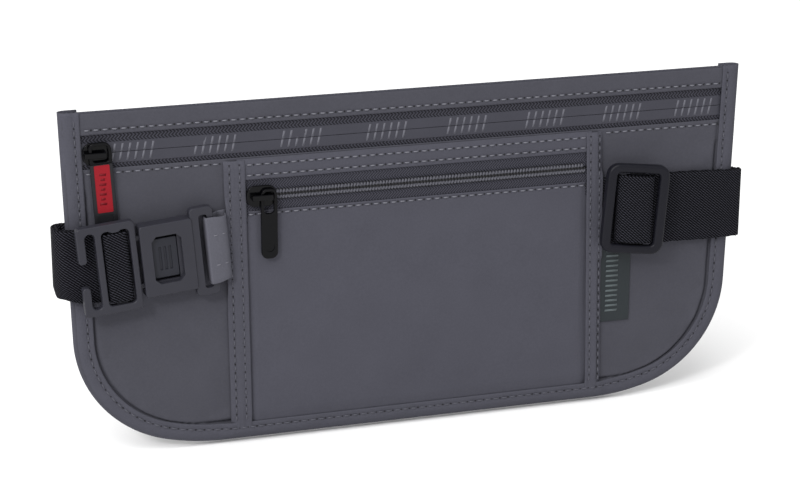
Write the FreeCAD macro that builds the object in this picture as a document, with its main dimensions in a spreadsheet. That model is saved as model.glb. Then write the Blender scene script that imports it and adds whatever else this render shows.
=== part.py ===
import FreeCAD, Part
import math
import os

import Sketcher

# Money belt: a flat waist pouch with a folded elastic strap.
# Frame: millimetres, +X to the right as seen from the front, the front faces -Y, +Z up.
# The origin is the middle of the strap's outer face behind the pouch, which rests on the waist.
# "Front distance" below means how far something stands towards the front, which is -Y.

V = FreeCAD.Vector

DIMENSIONS = (
    # Pouch outline, seen from the front.
    ("half_width", 142.3, "half width at the top edge"),
    ("top", 59.6, "top edge of the pouch"),
    ("bottom", -81.5, "bottom edge of the pouch"),
    ("flat_half", 80.0, "half length of the straight bottom edge"),
    ("flank_radius", 92.0, "radius next to the straight bottom edge"),
    ("corner_radius", 48.3, "radius of the lower corners"),
    ("corner_start", -74.5, "degrees from +X where the two radii meet"),
    # Cloth layers, given by the front distance of their backs and their thickness.
    ("binding_back", 2.8, "back of the edge binding"),
    ("binding_depth", 5.5, "edge binding over all"),
    ("binding_cloth", 0.5, "edge binding cloth"),
    ("binding_width", 8.0, "edge binding seen from the front"),
    ("binding_rise", 0.8, "edge binding ends above the top edge"),
    ("panel_inset", 0.7, "cloth panels stop short of the outline"),
    ("back_panel_back", 3.4, "back panel"),
    ("back_panel_depth", 1.0, "back panel thickness"),
    ("lining_back", 4.5, "shielding lining"),
    ("lining_depth", 0.2, "shielding lining thickness"),
    ("front_back", 7.1, "front panel and top band"),
    ("front_depth", 0.6, "front panel thickness"),
    ("pocket_back", 9.1, "pocket panel and pocket band"),
    ("pocket_depth", 0.6, "pocket panel thickness"),
    ("cover_back", 9.8, "tapes that cover the pocket's sides"),
    ("cover_depth", 0.5, "cover tape thickness"),
    # Main zip.
    ("main_axis", 43.5, "height of the main zip"),
    ("main_open_top", 51.0, "lower edge of the top band"),
    ("main_open_low", 37.5, "upper edge of the front panel"),
    ("main_tape_top", 55.5, "hidden edge of the upper tape"),
    ("main_tape_low", 33.0, "hidden edge of the lower tape"),
    ("main_tape_half", 134.6, "half length of the main zip tapes"),
    ("main_tape_back", 6.5, "main zip tapes"),
    ("tape_depth", 0.4, "zip tape thickness"),
    ("tape_gap", 0.4, "half the gap between two zip tapes"),
    ("film_half", 4.2, "half height of the smooth film on the main zip"),
    ("film_depth", 0.1, "film thickness"),
    ("main_coil_back", 5.6, "main zip coils, behind their tapes"),
    ("coil_depth", 0.9, "coil thickness"),
    ("coil_gap", 0.5, "half the gap between two coils"),
    ("coil_height", 1.8, "height of one coil"),
    ("main_coil_half", 133.0, "half length of the main zip coils"),
    # Pocket.
    ("pocket_left", -75.4, "left edge of the pocket panel"),
    ("pocket_right", 77.4, "right edge of the pocket panel"),
    ("pocket_right_high", 75.8, "right edge of the pocket band and of the pocket zip tapes"),
    ("pocket_top", 37.0, "top of the pocket band"),
    ("pocket_open_top", 28.6, "lower edge of the pocket band"),
    ("pocket_open_low", 14.9, "upper edge of the pocket panel"),
    ("pocket_low", -73.6, "lower edge of the pocket panel"),
    ("pocket_axis", 22.0, "height of the pocket zip"),
    ("pocket_tape_top", 33.0, "hidden edge of the upper pocket zip tape"),
    ("pocket_tape_low", 10.0, "hidden edge of the lower pocket zip tape"),
    ("pocket_tape_back", 8.6, "pocket zip tapes"),
    ("pocket_coil_left", -70.0, "left end of the pocket zip coils"),
    ("pocket_coil_right", 73.5, "right end of the pocket zip coils"),
    ("cover_left", -78.6, "outer edge of the left cover tape"),
    ("cover_left_width", 8.4, "left cover tape width"),
    ("cover_right", 73.6, "inner edge of the right cover tape at its top"),
    ("cover_right_width", 7.2, "right cover tape width"),
    ("cover_right_lean", 2.4, "right cover tape leans outwards by this much"),
    ("cover_top", 36.6, "top of the cover tapes"),
    ("cover_low", -73.9, "bottom of the cover tapes"),
    # Label.
    ("label_left", 78.9, "edge of the label in the cover tape's seam"),
    ("label_right", 95.6, "free edge of the label"),
    ("label_top", -7.2, "label top"),
    ("label_low", -46.8, "label bottom"),
    ("label_back", 7.9, "label"),
    ("label_depth", 0.4, "label thickness"),
    # Strap.
    ("strap_width", 30.0, "elastic webbing width"),
    ("webbing", 1.2, "elastic webbing thickness"),
    ("strap_layer", 1.4, "from one layer of webbing to the next"),
    ("strap_end", 142.5, "the strap behind the pouch is parted here at the left"),
    ("fold_right", 145.2, "middle of the outer layer at the right fold"),
    ("fold_left", 146.1, "middle of the outer layer at the left fold"),
    ("fold_radius", 2.2, "radius of the folds, at the middle of the webbing"),
    ("front_outer", 10.5, "middle of the outer layer in front, at the right"),
    ("anchor_level", 9.1, "middle of the strap where it is sewn under the cover tape"),
    ("anchor_start", 78.2, "sewn end of the strap"),
    ("anchor_flat", 86.0, "the strap rises from here"),
    ("anchor_risen", 91.0, "to its outer level here"),
    ("inner_start", 100.0, "start of the inner layer under the tri-glide"),
    ("left_outer", 12.2, "middle of the outer layer in front, at the left"),
    ("left_outer_end", 127.0, "its end behind the buckle"),
    ("left_inner_end", 119.0, "end of the inner layer behind the buckle"),
    # Sliders: one pattern, two sizes of body.
    ("main_slider_place", -128.0, "middle of the main slider"),
    ("pocket_slider_place", -64.0, "middle of the pocket slider"),
    ("main_slider_length", 11.0, "main slider body length"),
    ("pocket_slider_length", 12.0, "pocket slider body length"),
    ("main_slider_height", 8.8, "main slider body height"),
    ("pocket_slider_height", 8.6, "pocket slider body height"),
    ("slider_corner", 3.4, "slider body corner radius"),
    ("slider_plate", 0.9, "slider front plate thickness"),
    ("slider_rear", 0.5, "slider rear plate thickness"),
    ("main_slider_rear", 4.9, "back of the main slider's rear plate"),
    ("main_slider_front", 7.2, "back of the main slider's front plate"),
    ("pocket_slider_rear", 8.0, "back of the pocket slider's rear plate"),
    ("pocket_slider_front", 10.1, "back of the pocket slider's front plate"),
    ("post_length", 3.0, "post between the plates"),
    ("post_inset", 0.5, "the post starts this far left of the slider's middle"),
    ("post_height", 0.5, "post height"),
    ("bridge_half", 4.2, "half length of the bridge"),
    ("bridge_leg", 1.4, "length of a bridge leg"),
    ("bridge_height", 2.2, "bridge height"),
    ("bridge_room", 1.9, "room under the bridge"),
    ("bridge_depth", 0.9, "thickness of the bridge"),
    ("main_bridge_shift", -0.9, "middle of the main slider's bridge, from the slider's middle"),
    ("pocket_bridge_shift", 0.0, "middle of the pocket slider's bridge, from the slider's middle"),
    # Main puller: a stiff loop, a rubber tab and an inlaid panel.
    ("main_pull_left", -131.3, "left side of the main puller"),
    ("main_pull_width", 8.8, "main puller width"),
    ("main_pull_top", 48.2, "top of the main puller"),
    ("loop_bar", 1.3, "bars of the puller loops"),
    ("main_loop_hole", 6.4, "height of the main loop's hole"),
    ("main_loop_low", 39.7, "lower end of the main loop"),
    ("main_tab_low", 11.6, "lower end of the rubber tab"),
    ("main_pull_back", 8.5, "back of the main puller"),
    ("main_pull_lean", 3.0, "degrees, lower end of the main puller to the right"),
    ("pull_depth", 1.4, "puller thickness"),
    ("inlay_border", 1.3, "rubber beside the inlay"),
    ("inlay_top", 39.3, "top of the inlay"),
    ("inlay_low", 20.2, "bottom of the inlay"),
    ("inlay_sunk", 0.6, "depth of the inlay's bed"),
    ("grip_top", 19.2, "top of the sunk grip"),
    ("grip_low", 13.4, "bottom of the sunk grip"),
    # Pocket puller.
    ("pocket_pull_left", -64.6, "left side of the pocket puller"),
    ("pocket_pull_width", 6.6, "pocket puller width"),
    ("pocket_pull_top", 25.2, "top of the pocket puller"),
    ("pocket_loop_hole", 8.8, "height of the pocket loop's hole"),
    ("loop_hole_corner", 1.2, "rounding of the holes in the puller loops"),
    ("pocket_pull_low", -3.6, "lower end of the pocket puller"),
    ("pocket_pull_back", 11.2, "back of the pocket puller"),
    ("pocket_disc", 1.2, "middle of the round recess"),
    ("pocket_disc_radius", 2.0, "radius of the round recess"),
    ("recess", 0.3, "depth of shallow recesses"),
    # Buckle, in its own frame: u along it, v up, w towards the front.
    ("buckle_x", -114.2, "buckle: middle of the gap between its halves"),
    ("buckle_z", 0.5, "height of that point"),
    ("buckle_front", 10.7, "front distance of the buckle's back there"),
    ("buckle_roll", 4.7, "degrees, left end lower"),
    ("buckle_yaw", 2.4, "degrees, left end further forward"),
    ("buckle_top", 6.0, "w of the buckle's front"),
    ("plug_back", 2.7, "w of the plug's back"),
    ("plug_half", 18.2, "half height of the plug and of the socket's loop"),
    ("plug_left", -23.8, "left end of the plug"),
    ("slot_left", -20.6, "hook slot"),
    ("slot_right", -16.7, "hook slot"),
    ("slot_half", 15.4, "half height of the hook slot"),
    ("mouth_top", 3.7, "upper side of the hook slot's mouth"),
    ("mouth_low", -6.0, "lower side of the hook slot's mouth"),
    ("window_left", -14.1, "strap window"),
    ("window_right", -3.1, "strap window"),
    ("window_half", 15.2, "half height of the strap window"),
    ("plug_right", -0.7, "right side of the plug's frame"),
    ("bar_left", -10.8, "sunk strap bar"),
    ("bar_right", -6.4, "sunk strap bar"),
    ("bar_back", 3.0, "w of the strap bar's back"),
    ("bar_depth", 1.2, "strap bar thickness"),
    ("tongue_end", 17.4, "end of the tongue"),
    ("tongue_depth", 1.3, "tongue thickness"),
    ("tongue_half", 10.8, "half height of the tongue"),
    ("rail", 1.8, "tongue rails and end bar"),
    ("socket_left", 0.7, "left side of the socket"),
    ("socket_right", 22.0, "right side of the socket's box"),
    ("socket_half", 14.7, "half height of the socket"),
    ("cavity_right", 18.6, "end of the socket's cavity"),
    ("cavity_half", 11.2, "half height of the cavity"),
    ("cavity_back", 0.6, "w of the cavity's back"),
    ("cavity_front", 4.3, "w of the cavity's front"),
    ("port_left", 5.1, "window over the button"),
    ("port_right", 17.0, "window over the button"),
    ("port_half", 9.8, "half height of the window over the button"),
    ("port_chamfer", 2.0, "cut corners of that window"),
    ("loop_back", 2.2, "w of the back of the socket's loop"),
    ("loop_front", 5.4, "w of the front of the socket's loop"),
    ("loop_right", 30.8, "right end of the socket's loop"),
    ("tab_slot_left", 24.7, "slot for the cloth tab"),
    ("tab_slot_right", 28.2, "slot for the cloth tab"),
    ("tab_slot_half", 15.2, "half height of that slot"),
    ("button_left", 5.4, "release button"),
    ("button_right", 15.4, "release button"),
    ("button_top", 8.3, "release button"),
    ("button_low", -7.9, "release button"),
    ("button_back", 1.9, "w of the button's back"),
    ("button_depth", 2.1, "button thickness"),
    ("button_groove", 1.1, "width of a groove in the button"),
    ("button_groove_half", 4.8, "half length of a groove"),
    ("button_groove_sunk", 0.5, "depth of a groove"),
    ("tab_cloth", 0.7, "cloth of the buckle's tab"),
    ("tab_half", 14.5, "half height of the buckle's tab"),
    ("tab_sewn", 37.2, "sewn end of the tab, under the cover tape"),
    ("tab_front_flat", 33.9, "the tab's front layer lies flat from here"),
    ("tab_rear_flat", 33.6, "the tab's rear layer lies flat from here"),
    ("tab_turn", 31.8, "the tab starts to come down here"),
    ("tab_wrap", 27.4, "middle of the tab where it passes through the loop's slot"),
    ("tab_over", 6.2, "w of the layer over the loop's bar"),
    ("tab_under", 1.4, "w of the layer under the loop's bar"),
    ("tab_front_end", 0.25, "w of the sewn front layer"),
    ("tab_rear_end", -0.6, "w of the sewn rear layer"),
    ("tab_fold", 0.7, "radius of the tab's folds"),
    ("bight_reach", 2.2, "the strap's bight is this far outside the bar, at its middle"),
    ("bight_low", 1.7, "w of the ends of the bight"),
    ("bight_high", 5.25, "w of the bight over the bar"),
    ("bight_fold", 0.9, "radius of the bight's folds"),
    ("bight_narrow", 0.9, "the bight is narrower at each side"),
    ("prong_radius", 1.3, "rounding of the slot's mouth"),
    # Tri-glide, in its own frame.
    ("glide_x", 93.6, "middle of the tri-glide"),
    ("glide_z", 4.4, "middle of the tri-glide"),
    ("glide_front", 14.0, "front distance of its back"),
    ("glide_roll", -5.1, "degrees, right end lower"),
    ("glide_yaw", -7.0, "degrees, right end further forward"),
    ("glide_pitch", -2.5, "degrees about the width; below zero the bottom is further forward"),
    ("glide_width", 26.8, "over all"),
    ("glide_height", 37.8, "over all"),
    ("glide_corner", 5.0, "outer corner radius"),
    ("glide_inner_corner", 1.6, "corner radius of the opening"),
    ("glide_bar", 4.2, "side bars"),
    ("glide_rail", 3.6, "top and bottom rails"),
    ("glide_depth", 4.2, "thickness"),
    ("glide_bar_half", 3.2, "half width of the middle bar"),
    ("glide_bar_back", 0.8, "w of the middle bar's back"),
    ("glide_bar_depth", 0.9, "thickness of the middle bar"),
    ("sewn_reach", 1.0, "the sewn loop is this far outside the middle bar"),
    ("sewn_end", 5.4, "end of the sewn loop, right of the bar's middle"),
    ("sewn_low", 0.05, "w of the sewn loop behind the bar"),
    ("sewn_high", 2.5, "w of the sewn loop in front of the bar"),
    ("over_end", 7.9, "ends of the strap's bight over the bar"),
    ("over_low", 0.2, "w of those ends"),
    ("over_flat", 6.9, "half length of the bight's flat middle"),
    ("over_high", 3.85, "w of the bight's flat middle"),
    ("glide_narrow", 0.8, "the strap is narrower at each side in the tri-glide"),
    # Edges.
    ("hard_edge", 0.6, "rounding on the buckle and the button"),
    ("glide_edge", 1.2, "rounding on the tri-glide"),
    ("metal_edge", 0.3, "rounding on sliders and pullers"),
)

doc = FreeCAD.newDocument("money_belt")
sheet = doc.addObject("Spreadsheet::Sheet", "Dims")
for row, (alias, number, meaning) in enumerate(DIMENSIONS, start=1):
    sheet.set(f"A{row}", meaning)
    sheet.set(f"B{row}", str(number))
    sheet.setAlias(f"B{row}", alias)
doc.recompute()


def dim(alias):
    """The value of one cell of the sheet."""
    return float(sheet.get(alias))


# ---------------------------------------------------------------- sketches and features


def new_body(label):
    body = doc.addObject("PartDesign::Body", label)
    body.Label = label
    return body


def new_sketch(body, role, offset=None):
    """A sketch on one of the body's own origin planes, moved along its normal."""
    sketch = body.newObject("Sketcher::SketchObject", body.Name + "_sketch")
    plane = next(f for f in body.Origin.OriginFeatures if f.Role == role)
    sketch.AttachmentSupport = [(plane, "")]
    sketch.MapMode = "FlatFace"
    if offset is not None:
        sketch.setExpression("AttachmentOffset.Base.z", offset)
    return sketch


def bound_polygon(sketch, corners):
    """A closed polygon whose corners are bound to pairs of expressions."""
    first = sketch.GeometryCount
    count = len(corners)
    for i in range(count):
        ends = [2 * math.pi * k / count for k in (i, i + 1)]
        seeds = [V(10 * math.cos(a), 10 * math.sin(a), 0) for a in ends]
        sketch.addGeometry(Part.LineSegment(seeds[0], seeds[1]), False)
    for i in range(count):
        sketch.addConstraint(Sketcher.Constraint("Coincident", first + i, 2, first + (i + 1) % count, 1))
    for i, pair in enumerate(corners):
        for kind, expression in zip(("DistanceX", "DistanceY"), pair):
            number = sketch.addConstraint(Sketcher.Constraint(kind, -1, 1, first + i, 1, 1.0))
            sketch.setExpression(f"Constraints[{number}]", expression)


def bound_rectangle(sketch, left, right, low, high):
    bound_polygon(sketch, ((left, low), (right, low), (right, high), (left, high)))


def bound_circle(sketch, x, y, radius):
    index = sketch.addGeometry(Part.Circle(V(1, 1, 0), V(0, 0, 1), 1.0), False)
    for kind, where, expression in (
        ("DistanceX", (-1, 1, index, 3), x),
        ("DistanceY", (-1, 1, index, 3), y),
        ("Radius", (index,), radius),
    ):
        number = sketch.addConstraint(Sketcher.Constraint(kind, *where, 1.0))
        sketch.setExpression(f"Constraints[{number}]", expression)


def rounded_loop(sketch, corners, radii):
    """A closed loop of lines, each corner rounded by a tangent arc of its own radius."""
    count = len(corners)
    arcs = []
    for i, corner in enumerate(corners):
        before = (corners[i - 1] - corner).normalize()
        after = (corners[(i + 1) % count] - corner).normalize()
        half = before.getAngle(after) / 2
        reach = radii[i] / math.tan(half)
        middle = (before + after).normalize()
        centre = corner + middle * (radii[i] / math.sin(half))
        arcs.append((corner + before * reach, centre - middle * radii[i], corner + after * reach))
    for i, (start, middle, end) in enumerate(arcs):
        if radii[i] > 0:
            sketch.addGeometry(Part.Arc(start, middle, end), False)
        following = arcs[(i + 1) % count][0]
        if end.distanceToPoint(following) > 1e-6:
            sketch.addGeometry(Part.LineSegment(end, following), False)


def rounded_rectangle(sketch, left, right, low, high, radius):
    corners = (V(left, low, 0), V(right, low, 0), V(right, high, 0), V(left, high, 0))
    rounded_loop(sketch, corners, (radius,) * 4)


def add_pad(body, sketch, length, both_ways=False):
    feature = body.newObject("PartDesign::Pad", body.Name + "_pad")
    feature.Profile = sketch
    feature.Midplane = both_ways
    feature.setExpression("Length", length)
    doc.recompute()
    return feature


def add_pocket(body, sketch, length):
    """Cuts from the sketch towards the front, and makes sure that something was cut."""
    before = body.Shape.Volume
    feature = body.newObject("PartDesign::Pocket", body.Name + "_pocket")
    feature.Profile = sketch
    feature.Reversed = True
    feature.setExpression("Length", length)
    doc.recompute()
    if body.Shape.Volume > before - 1e-3:
        raise RuntimeError(f"{body.Label}: a pocket cuts nothing")
    return feature


def add_fillet(body, radius, wanted):
    """Rounds the edges of the body for which wanted(edge) holds."""
    doc.recompute()
    base = body.Tip
    names = [f"Edge{n}" for n, edge in enumerate(base.Shape.Edges, start=1) if wanted(edge)]
    feature = body.newObject("PartDesign::Fillet", body.Name + "_fillet")
    feature.Base = (base, names)
    feature.setExpression("Radius", radius)
    doc.recompute()
    return feature


def lies_at(front):
    """Picks edges that lie in the plane at one front distance."""
    def wanted(edge):
        return abs(edge.BoundBox.YMin + front) < 1e-4 and abs(edge.BoundBox.YMax + front) < 1e-4
    return wanted


def plate(label, corners, back, depth):
    """A flat piece seen from the front, bound to the sheet."""
    body = new_body(label)
    sketch = new_sketch(body, "XZ_Plane", back)
    bound_polygon(sketch, corners)
    add_pad(body, sketch, depth)
    return body


def box_corners(left, right, low, high):
    return ((left, low), (right, low), (right, high), (left, high))


# ---------------------------------------------------------------- pouch


def outline_edges(inset, top):
    """The pouch's outline, drawn in by inset: straight top, leaning sides, two radii a corner."""
    flank = V(dim("flat_half"), dim("bottom") + dim("flank_radius"), 0)
    turn = math.radians(dim("corner_start"))
    reach = dim("flank_radius") - dim("corner_radius")
    corner = flank + V(math.cos(turn), math.sin(turn), 0) * reach
    shoulder = V(dim("half_width"), dim("top"), 0)
    away = shoulder - corner
    touch = math.atan2(away.y, away.x) - math.acos(dim("corner_radius") / away.Length)
    lean = V(math.cos(touch), math.sin(touch), 0)
    along = (shoulder - corner - lean * dim("corner_radius")).normalize()
    side_low = corner + lean * (dim("corner_radius") - inset)
    side_top = side_low + along * ((top - side_low.y) / along.y)

    def on_arc(centre, radius, angle):
        return centre + V(math.cos(angle), math.sin(angle), 0) * radius

    small = dim("corner_radius") - inset
    large = dim("flank_radius") - inset
    down = -math.pi / 2
    chain = (
        side_top,
        side_low,
        on_arc(corner, small, (touch + turn) / 2),
        on_arc(corner, small, turn),
        on_arc(flank, large, (turn + down) / 2),
        on_arc(flank, large, down),
    )
    edges = []
    for points in (chain, [V(-p.x, p.y, 0) for p in chain]):
        edges.append(Part.LineSegment(points[0], points[1]))
        edges.append(Part.Arc(points[1], points[2], points[3]))
        edges.append(Part.Arc(points[3], points[4], points[5]))
    flat = chain[-1]
    edges.append(Part.LineSegment(flat, V(-flat.x, flat.y, 0)))
    edges.append(Part.LineSegment(side_top, V(-side_top.x, side_top.y, 0)))
    return edges


def outline_sketch(body, inset, top, offset):
    sketch = new_sketch(body, "XZ_Plane", offset)
    for piece in outline_edges(inset, top):
        sketch.addGeometry(piece, False)
    return sketch


def pouch_panel(label, inset, top, back, depth):
    body = new_body(label)
    add_pad(body, outline_sketch(body, inset, top, back), depth)
    return body


pouch_panel("back_panel", dim("panel_inset"), dim("top"), "Dims.back_panel_back", "Dims.back_panel_depth")
pouch_panel("rfid_lining", dim("panel_inset") + 1, dim("top") - 1, "Dims.lining_back", "Dims.lining_depth")
pouch_panel("front_panel", dim("panel_inset"), dim("main_open_low"), "Dims.front_back", "Dims.front_depth")

plate(
    "top_band",
    box_corners("-Dims.half_width + 1.2", "Dims.half_width - 1.2", "Dims.main_open_top", "Dims.top"),
    "Dims.front_back",
    "Dims.front_depth",
)


def make_edge_binding():
    """Tape folded over the edge of the pouch, open along the top."""
    body = new_body("edge_binding")
    high = dim("top") + dim("binding_rise")
    cloth = dim("binding_cloth")
    add_pad(body, outline_sketch(body, 0, high, "Dims.binding_back"), "Dims.binding_depth")
    add_pocket(body, outline_sketch(body, dim("binding_width"), high + 1, "Dims.binding_back"), "Dims.binding_depth")
    inside = outline_sketch(body, cloth, high + 1, "Dims.binding_back + Dims.binding_cloth")
    add_pocket(body, inside, "Dims.binding_depth - 2 * Dims.binding_cloth")


make_edge_binding()

# ---------------------------------------------------------------- pocket

plate(
    "pocket_band",
    box_corners("Dims.pocket_left", "Dims.pocket_right_high", "Dims.pocket_open_top", "Dims.pocket_top"),
    "Dims.pocket_back",
    "Dims.pocket_depth",
)
plate(
    "pocket_panel",
    box_corners("Dims.pocket_left", "Dims.pocket_right", "Dims.pocket_low", "Dims.pocket_open_low"),
    "Dims.pocket_back",
    "Dims.pocket_depth",
)
plate(
    "left_pocket_tape",
    box_corners("Dims.cover_left", "Dims.cover_left + Dims.cover_left_width", "Dims.cover_low", "Dims.cover_top"),
    "Dims.cover_back",
    "Dims.cover_depth",
)
plate(
    "right_pocket_tape",
    (
        ("Dims.cover_right + Dims.cover_right_lean", "Dims.cover_low"),
        ("Dims.cover_right + Dims.cover_right_lean + Dims.cover_right_width", "Dims.cover_low"),
        ("Dims.cover_right + Dims.cover_right_width", "Dims.cover_top"),
        ("Dims.cover_right", "Dims.cover_top"),
    ),
    "Dims.cover_back",
    "Dims.cover_depth",
)
plate(
    "side_label",
    box_corners("Dims.label_left", "Dims.label_right", "Dims.label_low", "Dims.label_top"),
    "Dims.label_back",
    "Dims.label_depth",
)

# ---------------------------------------------------------------- zips


def zip_tape(label, left, right, near, far, back):
    return plate(label, box_corners(left, right, near, far), back, "Dims.tape_depth")


def make_main_tape(label, sign, edge):
    """Main zip tape: cloth with a smooth film along the closing edge."""
    near = f"Dims.main_axis {sign} Dims.tape_gap"
    body = zip_tape(label, "-Dims.main_tape_half", "Dims.main_tape_half", near, edge, "Dims.main_tape_back")
    film = new_sketch(body, "XZ_Plane", "Dims.main_tape_back + Dims.tape_depth")
    far = f"Dims.main_axis {sign} Dims.film_half"
    bound_rectangle(film, "-Dims.main_tape_half", "Dims.main_tape_half", near, far)
    add_pad(body, film, "Dims.film_depth")


def make_coils(prefix, axis, left, right, back):
    for name, sign in (("upper", "+"), ("lower", "-")):
        near = f"{axis} {sign} Dims.coil_gap"
        far = f"{axis} {sign} (Dims.coil_gap + Dims.coil_height)"
        plate(f"{prefix}_coil_{name}", box_corners(left, right, near, far), back, "Dims.coil_depth")


make_main_tape("main_zip_tape_upper", "+", "Dims.main_tape_top")
make_main_tape("main_zip_tape_lower", "-", "Dims.main_tape_low")
make_coils("main_zip", "Dims.main_axis", "-Dims.main_coil_half", "Dims.main_coil_half", "Dims.main_coil_back")
zip_tape(
    "pocket_zip_tape_upper", "Dims.pocket_left", "Dims.pocket_right_high",
    "Dims.pocket_axis + Dims.tape_gap", "Dims.pocket_tape_top", "Dims.pocket_tape_back",
)
zip_tape(
    "pocket_zip_tape_lower", "Dims.pocket_left", "Dims.pocket_right_high",
    "Dims.pocket_axis - Dims.tape_gap", "Dims.pocket_tape_low", "Dims.pocket_tape_back",
)
make_coils(
    "pocket_zip", "Dims.pocket_axis", "Dims.pocket_coil_left", "Dims.pocket_coil_right",
    "Dims.pocket_tape_back + Dims.tape_depth",
)


def slider_bridge(body, front, shift):
    """Two legs and the arch between them, on a plate whose front is at the given distance."""
    ends = (f"Dims.{shift} - Dims.bridge_half", f"Dims.{shift} + Dims.bridge_half")
    inner = (f"{ends[0]} + Dims.bridge_leg", f"{ends[1]} - Dims.bridge_leg")
    for left, right in ((ends[0], inner[0]), (inner[1], ends[1])):
        leg = new_sketch(body, "XZ_Plane", front)
        bound_rectangle(leg, left, right, "-Dims.bridge_height / 2", "Dims.bridge_height / 2")
        add_pad(body, leg, "Dims.bridge_room")
    arch = new_sketch(body, "XZ_Plane", f"{front} + Dims.bridge_room")
    bound_rectangle(arch, *ends, "-Dims.bridge_height / 2", "Dims.bridge_height / 2")
    add_pad(body, arch, "Dims.bridge_depth")


def make_slider(label, length, height, rear, front, place, axis, shift):
    """Two plates joined by a post that runs between the coils, and a bridge for the puller."""
    body = new_body(label)
    reach = dim(length) / 2
    half = dim(height) / 2
    for start, depth in ((front, "Dims.slider_plate"), (rear, "Dims.slider_rear")):
        sketch = new_sketch(body, "XZ_Plane", f"Dims.{start}")
        rounded_rectangle(sketch, -reach, reach, -half, half, dim("slider_corner"))
        if start == front:
            add_pad(body, sketch, depth)
            post = new_sketch(body, "XZ_Plane", f"Dims.{rear} + Dims.slider_rear")
            bound_rectangle(
                post, "-Dims.post_length - Dims.post_inset", "-Dims.post_inset",
                "-Dims.post_height / 2", "Dims.post_height / 2",
            )
            add_pad(body, post, f"Dims.{front} - Dims.{rear} - Dims.slider_rear")
        else:
            add_pad(body, sketch, depth)
    slider_bridge(body, f"Dims.{front} + Dims.slider_plate", shift)
    plate_front = dim(front) + dim("slider_plate")
    arch_front = plate_front + dim("bridge_room") + dim("bridge_depth")

    def rim(edge):
        box = edge.BoundBox
        outer = max(box.XLength, box.ZLength) > 2.5 or abs(edge.CenterOfMass.x) > reach - 0.2
        return lies_at(plate_front)(edge) and outer or lies_at(arch_front)(edge)

    add_fillet(body, "Dims.metal_edge", rim)
    body.Placement = FreeCAD.Placement(V(dim(place), 0, dim(axis)), FreeCAD.Rotation())


make_slider(
    "main_zip_slider", "main_slider_length", "main_slider_height", "main_slider_rear",
    "main_slider_front", "main_slider_place", "main_axis", "main_bridge_shift",
)
make_slider(
    "pocket_zip_slider", "pocket_slider_length", "pocket_slider_height", "pocket_slider_rear",
    "pocket_slider_front", "pocket_slider_place", "pocket_axis", "pocket_bridge_shift",
)


def main_pull_place():
    """The main puller hangs from the bridge by the loop's left bar, a little aslant."""
    pivot = V(dim("main_pull_left") + dim("loop_bar") / 2, 0, dim("main_axis"))
    return FreeCAD.Placement(V(0, 0, 0), FreeCAD.Rotation(V(0, -1, 0), dim("main_pull_lean")), pivot)


def make_main_pull_loop():
    body = new_body("main_pull_loop")
    left = dim("main_pull_left")
    right = left + dim("main_pull_width")
    high = dim("main_pull_top")
    bar = dim("loop_bar")
    sketch = new_sketch(body, "XZ_Plane", "Dims.main_pull_back")
    corners = (V(left, dim("main_loop_low"), 0), V(right, dim("main_loop_low"), 0), V(right, high, 0), V(left, high, 0))
    rounded_loop(sketch, corners, (0.4, 0.4, 3.2, 2.2))
    rounded_rectangle(sketch, left + bar, right - bar, high - bar - dim("main_loop_hole"), high - bar, dim("loop_hole_corner"))
    add_pad(body, sketch, "Dims.pull_depth")
    add_fillet(body, "Dims.metal_edge", lies_at(dim("main_pull_back") + dim("pull_depth")))
    body.Placement = main_pull_place()


def make_main_pull_tab():
    body = new_body("main_pull_tab")
    left = dim("main_pull_left")
    right = left + dim("main_pull_width")
    border = dim("inlay_border")
    front = dim("main_pull_back") + dim("pull_depth")
    high = dim("main_loop_low") - 0.1
    low = dim("main_tab_low")
    sketch = new_sketch(body, "XZ_Plane", "Dims.main_pull_back")
    corners = (V(left, low, 0), V(right, low, 0), V(right, high, 0), V(left, high, 0))
    rounded_loop(sketch, corners, (3.0, 3.0, 0.4, 0.4))
    add_pad(body, sketch, "Dims.pull_depth")
    add_fillet(body, "Dims.metal_edge", lies_at(front))
    bed = new_sketch(body, "XZ_Plane", "Dims.main_pull_back + Dims.pull_depth - Dims.inlay_sunk")
    rounded_rectangle(bed, left + border, right - border, dim("inlay_low"), dim("inlay_top"), 0.5)
    add_pocket(body, bed, "Dims.inlay_sunk + 1")
    grip = new_sketch(body, "XZ_Plane", "Dims.main_pull_back + Dims.pull_depth - Dims.recess")
    rounded_rectangle(grip, left + border, right - border, dim("grip_low"), dim("grip_top"), 0.8)
    add_pocket(body, grip, "Dims.recess + 1")
    body.Placement = main_pull_place()


def make_main_pull_inlay():
    body = new_body("main_pull_inlay")
    side = dim("inlay_border") + 0.05
    left = dim("main_pull_left") + side
    right = dim("main_pull_left") + dim("main_pull_width") - side
    sketch = new_sketch(body, "XZ_Plane", "Dims.main_pull_back + Dims.pull_depth - Dims.inlay_sunk + 0.05")
    rounded_rectangle(sketch, left, right, dim("inlay_low") + 0.05, dim("inlay_top") - 0.05, 0.45)
    add_pad(body, sketch, "Dims.inlay_sunk")
    body.Placement = main_pull_place()


def make_pocket_puller():
    body = new_body("pocket_zip_puller")
    left = dim("pocket_pull_left")
    right = left + dim("pocket_pull_width")
    high = dim("pocket_pull_top")
    bar = dim("loop_bar")
    front = dim("pocket_pull_back") + dim("pull_depth")
    sketch = new_sketch(body, "XZ_Plane", "Dims.pocket_pull_back")
    rounded_rectangle(sketch, left, right, dim("pocket_pull_low"), high, 2.6)
    rounded_rectangle(sketch, left + bar, right - bar, high - bar - dim("pocket_loop_hole"), high - bar, dim("loop_hole_corner"))
    add_pad(body, sketch, "Dims.pull_depth")
    add_fillet(body, "Dims.metal_edge", lies_at(front))
    disc = new_sketch(body, "XZ_Plane", "Dims.pocket_pull_back + Dims.pull_depth - Dims.recess")
    bound_circle(disc, "Dims.pocket_pull_left + Dims.pocket_pull_width / 2", "Dims.pocket_disc", "Dims.pocket_disc_radius")
    add_pocket(body, disc, "Dims.recess + 1")


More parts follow.
